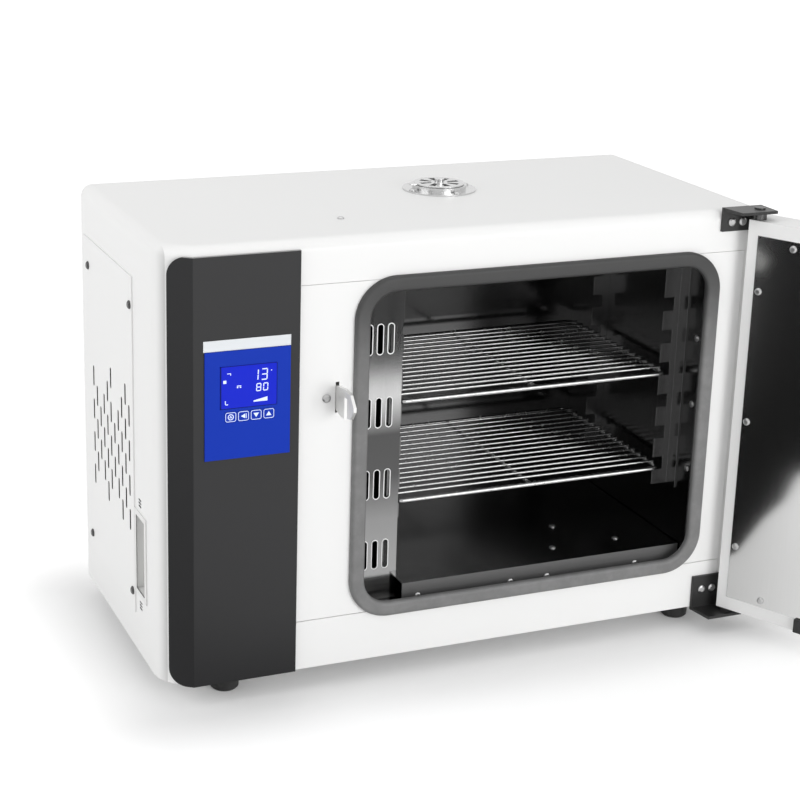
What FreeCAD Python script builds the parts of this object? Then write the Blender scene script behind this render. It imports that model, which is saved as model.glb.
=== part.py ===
import FreeCAD, Part
import math
import os

import Sketcher
from FreeCAD import Placement, Rotation, Vector

# Bench-top electrode drying oven with forced air: a white sheet cabinet on four feet, a dark control panel at the
# left, a stainless chamber behind a door hinged on the right, and the door standing open.
# X runs to the right, Y from front to back, Z up. The origin is on the bench, under the middle of the oven as it
# stands with its door open.

SIZES = {
    # cabinet
    "width": 633.0,              # outside, left to right
    "depth": 294.0,              # outside, front to back
    "height": 433.0,             # body, without the feet
    "shell_sheet": 1.5,          # painted steel sheet
    "liner_sheet": 1.2,          # stainless sheet
    "fit_gap": 0.3,              # between pieces that are laid together
    "top_edge_radius": 12.0,
    "column_width": 29.0,        # slanted front left corner, across the front
    "column_depth": 20.0,        # the same, along the side
    "column_radius": 36.0,
    "right_radius": 20.0,        # rounded upright edge at the front right
    "origin_from_left": 437.285,   # where the row's origin lies, from the left side
    "origin_from_front": -72.946,  # the same, back from the front
    "seam_low": 51.0,            # heights of the two seams in the front
    "seam_high_margin": 43.0,    # what ends in margin is measured back from the right, back or top
    # feet
    "foot_height": 22.0,
    "foot_radius": 15.0,
    "foot_from_left": 70.0,
    "foot_from_right": 50.0,
    "foot_from_front": 32.0,
    "foot_from_back": 34.0,
    # chamber
    "chamber_left": 204.0,
    "chamber_right_margin": 63.0,
    "chamber_low": 46.0,
    "chamber_top_margin": 57.0,
    "chamber_back_margin": 24.0,
    "duct_right_lip": 12.0,      # how far the duct's front strip stands out past its side wall
    "duct_side_room": 33.5,      # from the chamber's left wall to the side wall, which carries rails
    "duct_front": 28.0,
    "floor_level": 70.0,
    "floor_front": 12.0,
    # air slots of the duct panel
    "duct_slot_width": 5.6,
    "duct_slot_length": 30.0,
    "duct_slot_pitch": 11.2,
    "duct_slot_first": 214.5,
    "duct_group_low": 98.0,
    "duct_group_pitch": 74.7,
    # shelves and the rails that carry them
    "rail_front": 45.0,
    "rail_rear": 190.0,
    "rail_leg": 18.0,
    "rail_wing": 20.0,
    "rail_low": 128.0,
    "notch_depth": 12.0,
    "notch_height": 14.0,
    "notch_pitch": 35.0,
    "shelf_low": 147.0,
    "shelf_high": 252.0,
    "shelf_front": 40.0,
    "shelf_back_margin": 47.0,
    "shelf_side_gap": 15.0,
    "shelf_bend": 9.0,
    "frame_rod": 2.5,
    "grid_wire": 1.4,
    "shelf_wires": 15.0,
    # gasket
    "gasket_left": 187.0,
    "gasket_right_margin": 48.0,
    "gasket_low": 45.0,
    "gasket_top_margin": 40.0,
    "gasket_band": 15.0,
    "gasket_thick": 6.0,
    "gasket_radius": 42.0,
    # control panel
    "panel_left": 9.0,
    "panel_right": 131.5,
    "panel_low": 0.0,
    "panel_top_margin": 8.5,
    "panel_thick": 3.0,
    "panel_radius": 18.0,
    "foil_left": 38.5,
    "foil_right": 122.0,
    "foil_low": 230.0,
    "foil_top": 335.0,
    "foil_thick": 1.2,
    "strip_height": 10.6,
    "lcd_left": 53.0,
    "lcd_right": 109.0,
    "lcd_low": 279.0,
    "lcd_top": 320.5,
    "key_width": 11.0,
    "key_height": 10.0,
    "key_pitch": 12.4,
    "key_first": 63.6,
    "key_level": 271.0,
    "key_gap": 0.2,
    "key_thick": 0.9,
    # left side
    "cover_front": 99.0,
    "cover_back_margin": 12.0,
    "cover_low": 39.0,
    "cover_top_margin": 49.0,
    "cover_slot_length": 22.0,
    "cover_slot_width": 4.6,
    "cover_slot_pitch": 13.6,
    "cover_slot_row": 18.0,
    "cover_slot_last": 249.0,
    "cover_slot_top": 252.0,
    "grip_front": 62.0,
    "grip_back": 95.0,
    "grip_low": 66.0,
    "grip_top": 149.0,
    "grip_deep": 24.0,
    # top vent
    "vent_x": 348.7,
    "vent_y": 172.0,
    "vent_flange_radius": 38.0,
    "vent_tube_radius": 25.0,
    "vent_disc_radius": 28.0,
    "vent_rise": 6.0,
    "vent_petals": 8.0,
    # hinges
    "axis_x_margin": 17.0,
    "axis_y": -16.0,
    "pin_radius": 3.5,
    "pin_clearance": 0.05,
    "bracket_sheet": 3.0,
    "bracket_left_margin": 51.0,
    "bracket_right_margin": 5.0,   # end of the wing; the plate behind it is shorter
    "bracket_reach": 30.0,
    "bracket_plate": 21.5,
    "bracket_slant": 5.0,
    "bracket_plate_low": 35.0,
    # door
    "door_angle": 118.0,
    "door_left": 139.0,
    "door_right_margin": 11.0,
    "door_low": 4.0,
    "door_top_margin": 7.5,
    "door_inner": 7.0,
    "door_thick": 42.0,
    "door_rim_side": 11.5,
    "door_rim_end": 14.5,
    "door_flange": 22.0,
    # catch and latch
    "catch_x": 171.0,
    "catch_level": 278.0,
    "catch_height": 30.0,
    "catch_reach": 45.0,
    "catch_sheet": 3.0,
    "latch_x": 197.0,
    "latch_level": 279.0,
    "handle_length": 105.0,
    # fan
    "fan_y": 150.0,
    "fan_level": 210.0,
    "fan_radius": 62.0,
    "fan_blades": 18.0,
    "fan_inset": 6.0,            # from the chamber's left wall to the disc
    "fan_gap": 4.3,              # from the blades' ends to the duct's side wall
}

doc = FreeCAD.newDocument("electrode_drying_oven")
table = doc.addObject("Spreadsheet::Sheet", "sizes")
WHOLE = {"seam_high": "height", "chamber_right": "width", "chamber_top": "height", "chamber_back": "depth",
         "shelf_back": "depth", "gasket_right": "width", "gasket_top": "height", "panel_top": "height",
         "cover_back": "depth", "cover_top": "height", "axis_x": "width", "bracket_left": "width",
         "bracket_right": "width", "door_right": "width", "door_top": "height"}
ENDS = {name: "=%s - %s_margin" % (whole, name) for name, whole in WHOLE.items()}
ENDS["duct_side"] = "=chamber_left + duct_side_room"
ENDS["duct_right"] = "=duct_side + duct_right_lip"
for row, (name, value) in enumerate(list(SIZES.items()) + list(ENDS.items()), start=1):
    table.set("A%d" % row, name)
    table.set("B%d" % row, str(value))
    table.setAlias("B%d" % row, name)
doc.recompute()


class Size:
    """A length with its value and the text that binds a property to the sheet."""

    def __init__(self, value, text):
        self.value = value
        self.text = text

    def __add__(self, other):
        other = size(other)
        return Size(self.value + other.value, "(%s + %s)" % (self.text, other.text))

    def __sub__(self, other):
        other = size(other)
        return Size(self.value - other.value, "(%s - %s)" % (self.text, other.text))

    def __mul__(self, other):
        other = size(other)
        return Size(self.value * other.value, "(%s * %s)" % (self.text, other.text))

    def __truediv__(self, other):
        other = size(other)
        return Size(self.value / other.value, "(%s / %s)" % (self.text, other.text))

    def __radd__(self, other):
        return size(other) + self

    def __rsub__(self, other):
        return size(other) - self

    def __rmul__(self, other):
        return size(other) * self

    def __neg__(self):
        return size(0.0) - self

    def __float__(self):
        return float(self.value)


def size(value):
    """A plain number as a Size."""
    return value if isinstance(value, Size) else Size(float(value), repr(float(value)))


def cell(name):
    """The Size that the sheet holds under this name."""
    return Size(float(table.get(name)), "sizes." + name)


def X(name):
    """A place measured from the cabinet's left side."""
    return (cell(name) if isinstance(name, str) else size(name)) - cell("origin_from_left")


def Y(name):
    """A place measured back from the cabinet's front."""
    return (cell(name) if isinstance(name, str) else size(name)) - cell("origin_from_front")


def Z(name):
    """A height measured up from the cabinet's underside."""
    return cell(name) + cell("foot_height") if isinstance(name, str) else size(name) + cell("foot_height")


def bind(thing, prop, value):
    """Sets one property to a size and keeps it bound to the sheet."""
    thing.setExpression(prop, size(value).text)


# Part primitives

def block(label, xs, ys, zs):
    """A box between three pairs of planes."""
    thing = doc.addObject("Part::Box", label)
    for prop, (low, high) in zip(("Length", "Width", "Height"), (xs, ys, zs)):
        bind(thing, prop, size(high) - size(low))
    for axis, (low, high) in zip("xyz", (xs, ys, zs)):
        bind(thing, "Placement.Base." + axis, low)
    return thing


TURN = {"X": Rotation(Vector(0, 1, 0), 90), "Y": Rotation(Vector(1, 0, 0), -90), "Z": Rotation()}


def rod(label, axis, at, radius, length):
    """A cylinder along X, Y or Z that starts at a point."""
    thing = doc.addObject("Part::Cylinder", label)
    thing.Placement.Rotation = TURN[axis]
    bind(thing, "Radius", radius)
    bind(thing, "Height", length)
    for letter, value in zip("xyz", at):
        bind(thing, "Placement.Base." + letter, value)
    return thing


def fuse(label, parts):
    """Several solids as one piece."""
    thing = doc.addObject("Part::MultiFuse", label)
    thing.Shapes = parts
    thing.Refine = True
    return thing


def cut(label, base, tools):
    """A solid without the tools' space."""
    if len(tools) == 1:
        tool = tools[0]
    else:
        tool = doc.addObject("Part::MultiFuse", label + "_tools")
        tool.Shapes = tools
    thing = doc.addObject("Part::Cut", label)
    thing.Base = base
    thing.Tool = tool
    return thing


def group(label, parts):
    """Separate solids that share one node."""
    thing = doc.addObject("Part::Compound", label)
    thing.Links = parts
    return thing


# Bodies made from sketches

NORMAL_SIGN = {"XY_Plane": 1, "XZ_Plane": -1, "YZ_Plane": 1}


def new_body(label):
    body = doc.addObject("PartDesign::Body", label)
    body.Label = label
    return body


def sketch(body, role, level):
    """A sketch on one of the body's own origin planes, lifted to a level along the row's axis."""
    plane = [f for f in body.Origin.OriginFeatures if f.Role == role][0]
    drawing = body.newObject("Sketcher::SketchObject", body.Label + "_sketch")
    drawing.AttachmentSupport = (plane, [""])
    drawing.MapMode = "FlatFace"
    bind(drawing, "AttachmentOffset.Base.z", size(level) * NORMAL_SIGN[role])
    return drawing


def draw_polygon(drawing, points):
    """A closed outline whose corners are bound to sizes."""
    start = drawing.GeometryCount
    count = len(points)
    spots = [Vector(float(size(u)), float(size(v)), 0) for u, v in points]
    for i in range(count):
        drawing.addGeometry(Part.LineSegment(spots[i], spots[(i + 1) % count]), False)
    for i in range(count):
        drawing.addConstraint(Sketcher.Constraint("Coincident", start + i, 2, start + (i + 1) % count, 1))
    for i, (u, v) in enumerate(points):
        for kind, value in (("DistanceX", u), ("DistanceY", v)):
            index = drawing.addConstraint(
                Sketcher.Constraint(kind, -1, 1, start + i, 1, float(size(value))))
            bind(drawing, "Constraints[%d]" % index, value)


def draw_circle(drawing, centre, radius):
    """A circle bound to sizes."""
    u, v = centre
    spot = Vector(float(size(u)), float(size(v)), 0)
    start = drawing.addGeometry(Part.Circle(spot, Vector(0, 0, 1), float(size(radius))), False)
    index = drawing.addConstraint(Sketcher.Constraint("Radius", start, float(size(radius))))
    bind(drawing, "Constraints[%d]" % index, radius)
    for kind, value in (("DistanceX", u), ("DistanceY", v)):
        index = drawing.addConstraint(Sketcher.Constraint(kind, -1, 1, start, 3, float(size(value))))
        bind(drawing, "Constraints[%d]" % index, value)


def draw_rectangle(drawing, us, vs):
    draw_polygon(drawing, [(us[0], vs[0]), (us[1], vs[0]), (us[1], vs[1]), (us[0], vs[1])])


def pad(body, drawing, length, forward=True):
    """Material from the sketch, forward along the row's positive axis."""
    feature = body.newObject("PartDesign::Pad", body.Label + "_pad")
    feature.Profile = drawing
    role = drawing.AttachmentSupport[0][0].Role
    feature.Reversed = forward != (NORMAL_SIGN[role] > 0)
    bind(feature, "Length", length)
    doc.recompute()
    return feature


def pocket(body, drawing, length, forward=True):
    """A cut from the sketch, forward along the row's positive axis."""
    feature = body.newObject("PartDesign::Pocket", body.Label + "_pocket")
    feature.Profile = drawing
    role = drawing.AttachmentSupport[0][0].Role
    before = feature.BaseFeature.Shape.Volume
    feature.Reversed = forward == (NORMAL_SIGN[role] > 0)
    bind(feature, "Length", length)
    doc.recompute()
    if not feature.Shape.Volume < before:
        raise RuntimeError("%s cuts nothing" % feature.Label)
    return feature


def edges_where(shape, test):
    """Names of the edges whose middle passes a test."""
    names = []
    for i, edge in enumerate(shape.Edges, start=1):
        middle = edge.valueAt((edge.FirstParameter + edge.LastParameter) / 2)
        if test(middle, edge):
            names.append("Edge%d" % i)
    return names


def fillet(body, radius, test):
    """Rounds the edges of a body that pass a test."""
    base = body.Tip
    feature = body.newObject("PartDesign::Fillet", body.Label + "_fillet")
    feature.Base = (base, edges_where(base.Shape, test))
    bind(feature, "Radius", radius)
    doc.recompute()
    if feature.Shape.isNull() or "Invalid" in feature.State:
        raise RuntimeError("%s can't be rounded" % feature.Label)
    return feature


def polar(body, feature, axis_line, count):
    """Repeats a feature around a sketch's construction line or an origin axis."""
    pattern = body.newObject("PartDesign::PolarPattern", body.Label + "_polar")
    pattern.Originals = [feature]
    pattern.Axis = axis_line
    pattern.Angle = 360
    pattern.Occurrences = int(round(float(count)))
    body.Tip = pattern
    doc.recompute()
    return pattern


def origin_axis(body, role):
    return ([f for f in body.Origin.OriginFeatures if f.Role == role][0], [""])


def upright(edge):
    return abs(edge.tangentAt(edge.FirstParameter).z) > 0.99


def near(value, target):
    return abs(value - float(size(target))) < 0.01


def copies(label, shape, places):
    """One drawn shape at several places that are bound to the sheet, as one group."""
    pieces = []
    for i, spot in enumerate(places):
        piece = doc.addObject("Part::Feature", "%s_%d" % (label, i))
        piece.Shape = shape
        for letter, value in zip("xyz", spot):
            bind(piece, "Placement.Base." + letter, value)
        pieces.append(piece)
    return group(label, pieces)


def screw_shape(out, radius, stand, shank):
    """A domed head that stands out of a face, with a shank into it."""
    origin = Vector()
    head = Part.makeCylinder(radius, stand * 0.5, origin, out)
    dome = Part.makeCone(radius, radius * 0.62, stand * 0.5, out * (stand * 0.5), out)
    body = Part.makeCylinder(radius * 0.5, shank, out * -shank, out)
    return head.fuse([dome, body]).removeSplitter()


HOLES = {}


def screws(label, places, out, radius, stand, shank):
    """Screws that share a node, and the holes that their shanks need."""
    hole = Part.makeCylinder(radius * 0.5, shank + stand + 1, out * -(shank + 0.5), out)
    HOLES[label] = copies(label + "_holes", hole, places)
    return copies(label, screw_shape(out, radius, stand, shank), places)


KEPT = []


def keep(thing, label):
    """Marks a finished sub-part, under the name of its node."""
    thing.Label = label
    KEPT.append((label, thing))
    return thing


gap = cell("fit_gap")
sheet = cell("shell_sheet")
liner = cell("liner_sheet")
left, right = X(0), X("width")
front, back = Y(0), Y("depth")
base, top = Z(0), Z("height")

# Outer shell: one painted sheet wrapped over the top and both sides, with a slanted and rounded column at the front
# left, and a strip folded down over the front as far as the upper seam.

column_x, column_y = X("column_width"), Y("column_depth")
flat_right = right - cell("right_radius")


def wrap_body(label, inset, low, rear, high):
    """The cabinet's outline, drawn in by a sheet's thickness, as a solid with its edges rounded."""
    body = new_body(label)
    plan = sketch(body, "XY_Plane", low)
    side_y, front_x = column_y + inset * 0.524, column_x + inset * 0.31
    draw_polygon(plan, [(left + inset, rear), (left + inset, side_y), (front_x, front + inset),
                        (right - inset, front + inset), (right - inset, rear)])
    pad(body, plan, high - low)
    fillet(body, cell("column_radius") - inset, lambda p, e: upright(e) and near(p.x, left + inset) and near(p.y, side_y))
    fillet(body, cell("right_radius") - inset, lambda p, e: upright(e) and near(p.x, right - inset) and near(p.y, front + inset))
    fillet(body, cell("top_edge_radius") - inset, lambda p, e: near(p.z, high) and p.y < float(back) - 1)
    return body


outside = wrap_body("shell_outside", size(0), base, back, top)
space = wrap_body("shell_space", sheet, base - 1, back + 1, top - sheet)
window_rim = 14.0
side_places = [(left - liner, Y(y), Z(z)) for y in (cell("cover_front") + 7, cell("cover_back") - 18)
               for z in (cell("cover_low") + 21, cell("cover_top") - 29)]
side_screws = screws("side_screws_set", side_places, Vector(-1, 0, 0), 4.2, 2.2, 4)
vx, vy = X("vent_x"), Y("vent_y")
vent_ring = cell("vent_flange_radius") - 5
vent_places = [(vx + vent_ring * math.cos(math.radians(a)), vy + vent_ring * math.sin(math.radians(a)), top + 1.5)
               for a in (100, 190, 280, 10)]
vent_screws = screws("vent_screws_set", vent_places + [(X(200), Y(73), top)], Vector(0, 0, 1), 3.4, 1.8, 3)
bx = (X("bracket_left"), X("bracket_right"))
bt = cell("bracket_sheet")
bracket_places = [(x, front - bt, z) for x in (bx[0] + 11, bx[0] + 23.5) for z in (top - 12, base + 20)]
bracket_screws = screws("bracket_screws", bracket_places, Vector(0, -1, 0), 4.2, 2.0, 5)
openings = [space, HOLES["side_screws_set"], HOLES["vent_screws_set"], HOLES["bracket_screws"],
            block("shell_front_open", (column_x, flat_right), (front - 1, front + sheet + gap), (base - 1, Z("seam_high"))),
            block("shell_cover_window", (left - 1, left + sheet + 1), (Y("cover_front") + window_rim, Y("cover_back") - window_rim),
                  (Z("cover_low") + window_rim, Z("cover_top") - window_rim)),
            rod("shell_vent_hole", "Z", (X("vent_x"), Y("vent_y"), top - sheet - 1), cell("vent_tube_radius") + gap, sheet + 2)]
for side, xs in (("left", (left - 1, left + sheet + 1)), ("right", (right - sheet - 1, right + 1))):
    openings.append(block("shell_grip_" + side, xs, (Y("grip_front"), Y("grip_back")), (Z("grip_low"), Z("grip_top"))))
    clip_y = (Y("grip_front") + 15, Y("grip_front") + 24)
    for i in range(3):
        clip_z = (Z("grip_top") + 8.5 + 3.2 * i, Z("grip_low") - 10.5 - 3.2 * i)
        openings += [block("shell_clip_%s_%d_%d" % (side, i, j), xs, clip_y, (z, z + 1.8)) for j, z in enumerate(clip_z)]
keep(cut("outer_shell_sheet", outside, openings), "outer_shell")

# Front panel: the middle of the front, between the seams, with the rounded mouth of the chamber.

panel = new_body("front_panel")
face = sketch(panel, "XZ_Plane", front)
draw_rectangle(face, (column_x + gap, flat_right - gap), (Z("seam_low") + gap, Z("seam_high") - gap))
pad(panel, face, sheet)
mouth = sketch(panel, "XZ_Plane", front - 1)
under_seal = cell("gasket_band") - 1
mouth_x = (X("gasket_left") + under_seal, X("gasket_right") - under_seal)
mouth_z = (Z("gasket_low") + under_seal, Z("gasket_top") - under_seal)
draw_rectangle(mouth, mouth_x, mouth_z)
pocket(panel, mouth, sheet + 2)
fillet(panel, cell("gasket_radius") - under_seal, lambda p, e: (near(p.x, mouth_x[0]) or near(p.x, mouth_x[1]))
       and (near(p.z, mouth_z[0]) or near(p.z, mouth_z[1])))
catch_slot = sketch(panel, "XZ_Plane", front - 1)
catch_x = X("catch_x")
catch_half = cell("catch_sheet") / 2 + gap
catch_low, catch_top = Z("catch_level") - cell("catch_height") / 2, Z("catch_level") + cell("catch_height") / 2
draw_rectangle(catch_slot, (catch_x - catch_half, catch_x + catch_half), (catch_low - gap, catch_top + gap))
pocket(panel, catch_slot, sheet + 2)
board_window = sketch(panel, "XZ_Plane", front - 1)
draw_rectangle(board_window, (X("foil_left") + 2, X("foil_right") - 2), (Z("foil_low") + 2, Z("foil_top") - 2))
pocket(panel, board_window, sheet + 2)
catch_screw = screws("catch_screw", [(catch_x - 11, front, Z("catch_level"))], Vector(0, -1, 0), 4.2, 2.0, 5)
keep(cut("front_panel_sheet", panel, [HOLES["catch_screw"]]), "front_panel")

# Base tray: the bottom sheet, folded up at the front as far as the lower seam and at the back behind the back panel.

tray = new_body("tray_sheet")
plan = sketch(tray, "XY_Plane", base)
edge = sheet + gap
tray_back_y = back - 4
draw_polygon(plan, [(left + edge, tray_back_y), (left + edge, column_y + edge * 0.524), (column_x + edge * 0.31, front + edge),
                    (right - edge, front + edge), (right - edge, tray_back_y)])
pad(tray, plan, sheet)
fillet(tray, cell("column_radius") - edge, lambda p, e: upright(e) and near(p.x, left + edge) and near(p.y, column_y + edge * 0.524))
fillet(tray, cell("right_radius") - edge, lambda p, e: upright(e) and near(p.x, right - edge) and near(p.y, front + edge))
tray_front = block("tray_front", (column_x + gap, flat_right - gap), (front, front + sheet), (base, Z("seam_low") - gap))
tray_link = block("tray_link", (column_x + gap + 2, flat_right - gap - 2), (front, front + edge + 1), (base, base + sheet))
tray_back = block("tray_back", (left + edge, right - edge), (tray_back_y - sheet, tray_back_y), (base, base + 30))
keep(cut("base_tray_sheet", fuse("base_tray_solid", [tray, tray_front, tray_link, tray_back]), [HOLES["bracket_screws"]]),
     "base_tray")

# Back panel: a plate inside the shell's rear edge, with louvre slots behind the electrical bay.

plate_back = new_body("back_panel")
drawing = sketch(plate_back, "XZ_Plane", back - 3)
draw_rectangle(drawing, (left + sheet + gap, right - sheet - gap), (base + 2, top - sheet - gap - 8))
pad(plate_back, drawing, sheet)
louvre_low, louvre_pitch, louvre_count = 250.0, 12.0, 9
slot = sketch(plate_back, "XZ_Plane", back - 4)
draw_rectangle(slot, (left + 40, left + 120), (Z(louvre_low), Z(louvre_low) + 4))
cut_slot = pocket(plate_back, slot, sheet + 3)
louvres = plate_back.newObject("PartDesign::LinearPattern", "louvres")
louvres.Originals = [cut_slot]
louvres.Direction = (slot, ["V_Axis"])
louvres.Length = louvre_pitch * (louvre_count - 1)
louvres.Occurrences = louvre_count
plate_back.Tip = louvres
doc.recompute()
inlet_x, inlet_z = X(90), Z(80)
inlet_half_w, inlet_half_h = 14.5, 12.5
hole = sketch(plate_back, "XZ_Plane", back - 4)
draw_rectangle(hole, (inlet_x - inlet_half_w, inlet_x + inlet_half_w), (inlet_z - inlet_half_h, inlet_z + inlet_half_h))
pocket(plate_back, hole, sheet + 3)
keep(plate_back, "back_panel")

# Appliance inlet in the back panel, with three blades.

inlet_body = block("inlet_body", (inlet_x - inlet_half_w + 0.3, inlet_x + inlet_half_w - 0.3),
                   (back - 28, back - 3 + sheet), (inlet_z - inlet_half_h + 0.3, inlet_z + inlet_half_h - 0.3))
inlet_flange = block("inlet_flange", (inlet_x - 22, inlet_x + 22), (back - 3 + sheet, back + 1.5),
                     (inlet_z - 16, inlet_z + 16))
inlet_socket = block("inlet_socket", (inlet_x - 12, inlet_x + 12), (back - 20, back + 3),
                     (inlet_z - 9, inlet_z + 9))
blades = [block("inlet_blade_%d" % i, (inlet_x + dx - 0.9, inlet_x + dx + 0.9), (back - 21, back - 5),
                (inlet_z + dz - 2.2, inlet_z + dz + 2.2)) for i, (dx, dz) in enumerate(((-7, -1.5), (0, 2.5), (7, -1.5)))]
keep(fuse("power_inlet", [cut("inlet_shell", fuse("inlet_block", [inlet_body, inlet_flange]), [inlet_socket])] + blades),
     "power_inlet")

# Left side cover: a screwed plate with a field of upright air slots.

cover = block("cover_plate", (left - liner, left), (Y("cover_front"), Y("cover_back")), (Z("cover_low"), Z("cover_top")))
ROWS = ((0, 2, 4, 6), (1, 3, 5), (2, 4), (1, 3, 5), (0, 2, 4, 6), (-1, 1, 3, 5), (2, 4), (1, 3, 5), (0, 2, 4, 6),
        (-1, 1, 3, 5), (0, 2, 4, 6))


def obround(width, length, out, depth):
    """A slot-shaped prism round the origin: upright straight sides and round ends, cut along one direction."""
    along = Vector(0, 0, 1)
    across = out.cross(along)
    r = width / 2
    a, b = along * (length / 2 - r), along * (r - length / 2)
    edges = [Part.Arc(a + across * r, a + along * r, a - across * r).toShape(),
             Part.LineSegment(a - across * r, b - across * r).toShape(),
             Part.Arc(b - across * r, b - along * r, b + across * r).toShape(),
             Part.LineSegment(b + across * r, a + across * r).toShape()]
    return Part.Face(Part.Wire(edges)).extrude(out * depth)


slot_places = [(left - 4, Y("cover_slot_last") - cell("cover_slot_pitch") * column,
                Z("cover_slot_top") - cell("cover_slot_row") * row - cell("cover_slot_length") / 2)
               for column, rows in enumerate(ROWS) for row in rows]
slot_shape = obround(float(cell("cover_slot_width")), float(cell("cover_slot_length")), Vector(1, 0, 0), 8)
slot_field = copies("slot_field", slot_shape, slot_places)
keep(cut("left_side_cover_sheet", cover, [slot_field, HOLES["side_screws_set"]]), "left_side_cover")
keep(side_screws, "side_screws")

# Hand grips: moulded pockets in both sides, in front of the cover.

for name, outside, inward in (("hand_grip_left", left, 1), ("hand_grip_right", right, -1)):
    def across(a, b):
        """A pair of planes measured inwards from the side."""
        ends = (outside + a * inward, outside + b * inward)
        return ends if inward > 0 else (ends[1], ends[0])
    deep = cell("grip_deep")
    body = block(name + "_body", across(size(0), deep), (Y("grip_front") + gap, Y("grip_back") - gap),
                 (Z("grip_low") + gap, Z("grip_top") - gap))
    lip = block(name + "_lip", across(size(-1.2), size(0)), (Y("grip_front") - 3, Y("grip_back") + 3),
                (Z("grip_low") - 3, Z("grip_top") + 3))
    pocket_space = block(name + "_pocket", across(size(-3), deep - 2), (Y("grip_front") + gap + 2, Y("grip_back") - gap - 2),
                         (Z("grip_low") + gap + 2, Z("grip_top") - gap - 2))
    keep(cut(name, fuse(name + "_moulding", [body, lip]), [pocket_space]), name)

# Feet: four turned rubber feet, one screwed under each corner.


def turned_body(label, plane, level, points, axis_points):
    """A body turned from an outline about a line drawn in the same sketch."""
    body = new_body(label)
    outline = sketch(body, plane, level)
    draw_polygon(outline, points)
    ends = [Vector(float(size(u)), float(size(v)), 0) for u, v in axis_points]
    line = outline.addGeometry(Part.LineSegment(*ends), True)
    for end, (u, v) in enumerate(axis_points, start=1):
        for kind, value in (("DistanceX", u), ("DistanceY", v)):
            index = outline.addConstraint(Sketcher.Constraint(kind, -1, 1, line, end, float(size(value))))
            bind(outline, "Constraints[%d]" % index, value)
    turned = body.newObject("PartDesign::Revolution", label + "_turned")
    turned.Profile = outline
    turned.ReferenceAxis = (outline, ["Axis0"])
    turned.Angle = 360
    doc.recompute()
    return body


feet = []
foot_r, foot_tall = cell("foot_radius"), cell("foot_height")
for name, x, y in (("front_left", X("foot_from_left"), Y("foot_from_front")),
                   ("front_right", right - cell("foot_from_right"), Y("foot_from_front")),
                   ("rear_left", X("foot_from_left"), back - cell("foot_from_back")),
                   ("rear_right", right - cell("foot_from_right"), back - cell("foot_from_back"))):
    section = [(x, size(0)), (x + foot_r - 3, size(0)), (x + foot_r - 1, size(2)), (x + foot_r, foot_tall - 3),
               (x + foot_r - 1.5, foot_tall), (x, foot_tall)]
    feet.append(turned_body("foot_" + name, "XZ_Plane", y, section, [(x, size(0)), (x, foot_tall)]))
keep(group("feet_group", feet), "feet")

# Control panel: a folded dark plate over the bay, from the top seam to the underside.

fold = new_body("control_panel")
plan = sketch(fold, "XY_Plane", Z("panel_low"))
slope = cell("column_depth") / cell("column_width")
thick = cell("panel_thick")
strip_end = X("panel_left")
run = cell("column_width") - cell("panel_left")
fold_shift = thick * 0.32
draw_polygon(plan, [(X("panel_right"), front - gap), (X("panel_right"), front - gap - thick),
                    (column_x - gap * 0.3 - fold_shift, front - gap - thick),
                    (strip_end - thick * 0.57, front - gap + run * slope - thick * 0.82),
                    (strip_end, front - gap + run * slope), (column_x - gap * 0.3, front - gap)])
pad(fold, plan, cell("panel_top") - cell("panel_low"))
fillet(fold, cell("panel_radius"), lambda p, e: p.x < float(strip_end) and (near(p.z, Z("panel_low")) or near(p.z, Z("panel_top")))
       and e.Length < float(thick) * 1.2)
window = sketch(fold, "XZ_Plane", front - gap - thick - 1)
draw_rectangle(window, (X("foil_left") + 4, X("foil_right") - 4), (Z("foil_low") + 4, Z("foil_top") - 4))
pocket(fold, window, thick + 2)
keep(fold, "control_panel")

# Display foil, with the window of the display and one opening for each key.

panel_face = front - gap - thick
foil_face = panel_face - cell("foil_thick")
foil = new_body("display_foil")
drawing = sketch(foil, "XZ_Plane", panel_face)
draw_rectangle(drawing, (X("foil_left"), X("foil_right")), (Z("foil_low"), Z("foil_top")))
pad(foil, drawing, cell("foil_thick"), forward=False)
hole = sketch(foil, "XZ_Plane", foil_face - 1)
draw_rectangle(hole, (X("lcd_left"), X("lcd_right")), (Z("lcd_low"), Z("lcd_top")))
pocket(foil, hole, cell("foil_thick") + 2)
key_half_w, key_half_h = cell("key_width") / 2, cell("key_height") / 2
KEYS = ("key_set", "key_left", "key_down", "key_up")
key_proud = 0.2
for i, name in enumerate(KEYS):
    x, z = X("key_first") + cell("key_pitch") * i, Z("key_level")
    grow = cell("key_gap")
    hole = sketch(foil, "XZ_Plane", foil_face - 1)
    draw_rectangle(hole, (x - key_half_w - grow, x + key_half_w + grow), (z - key_half_h - grow, z + key_half_h + grow))
    pocket(foil, hole, cell("foil_thick") + 2)
keep(foil, "display_foil")
for i, name in enumerate(KEYS):
    x, z = X("key_first") + cell("key_pitch") * i, Z("key_level")
    key = new_body(name)
    drawing = sketch(key, "XZ_Plane", foil_face - key_proud)
    draw_rectangle(drawing, (x - key_half_w, x + key_half_w), (z - key_half_h, z + key_half_h))
    pad(key, drawing, cell("key_thick"))
    keep(key, name)
keep(block("lcd_window", (X("lcd_left") + 0.1, X("lcd_right") - 0.1), (foil_face - 0.2, panel_face + 1),
           (Z("lcd_low") + 0.1, Z("lcd_top") - 0.1)), "lcd_window")
keep(block("silver_strip", (X("foil_left") - 1.2, X("foil_right") + 0.4), (panel_face - 0.5, panel_face),
           (Z("foil_top") + 0.2, Z("foil_top") + cell("strip_height"))), "silver_strip")

# Control board behind the display, on four posts that stand on the front panel, and its relay on the tray.

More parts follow.
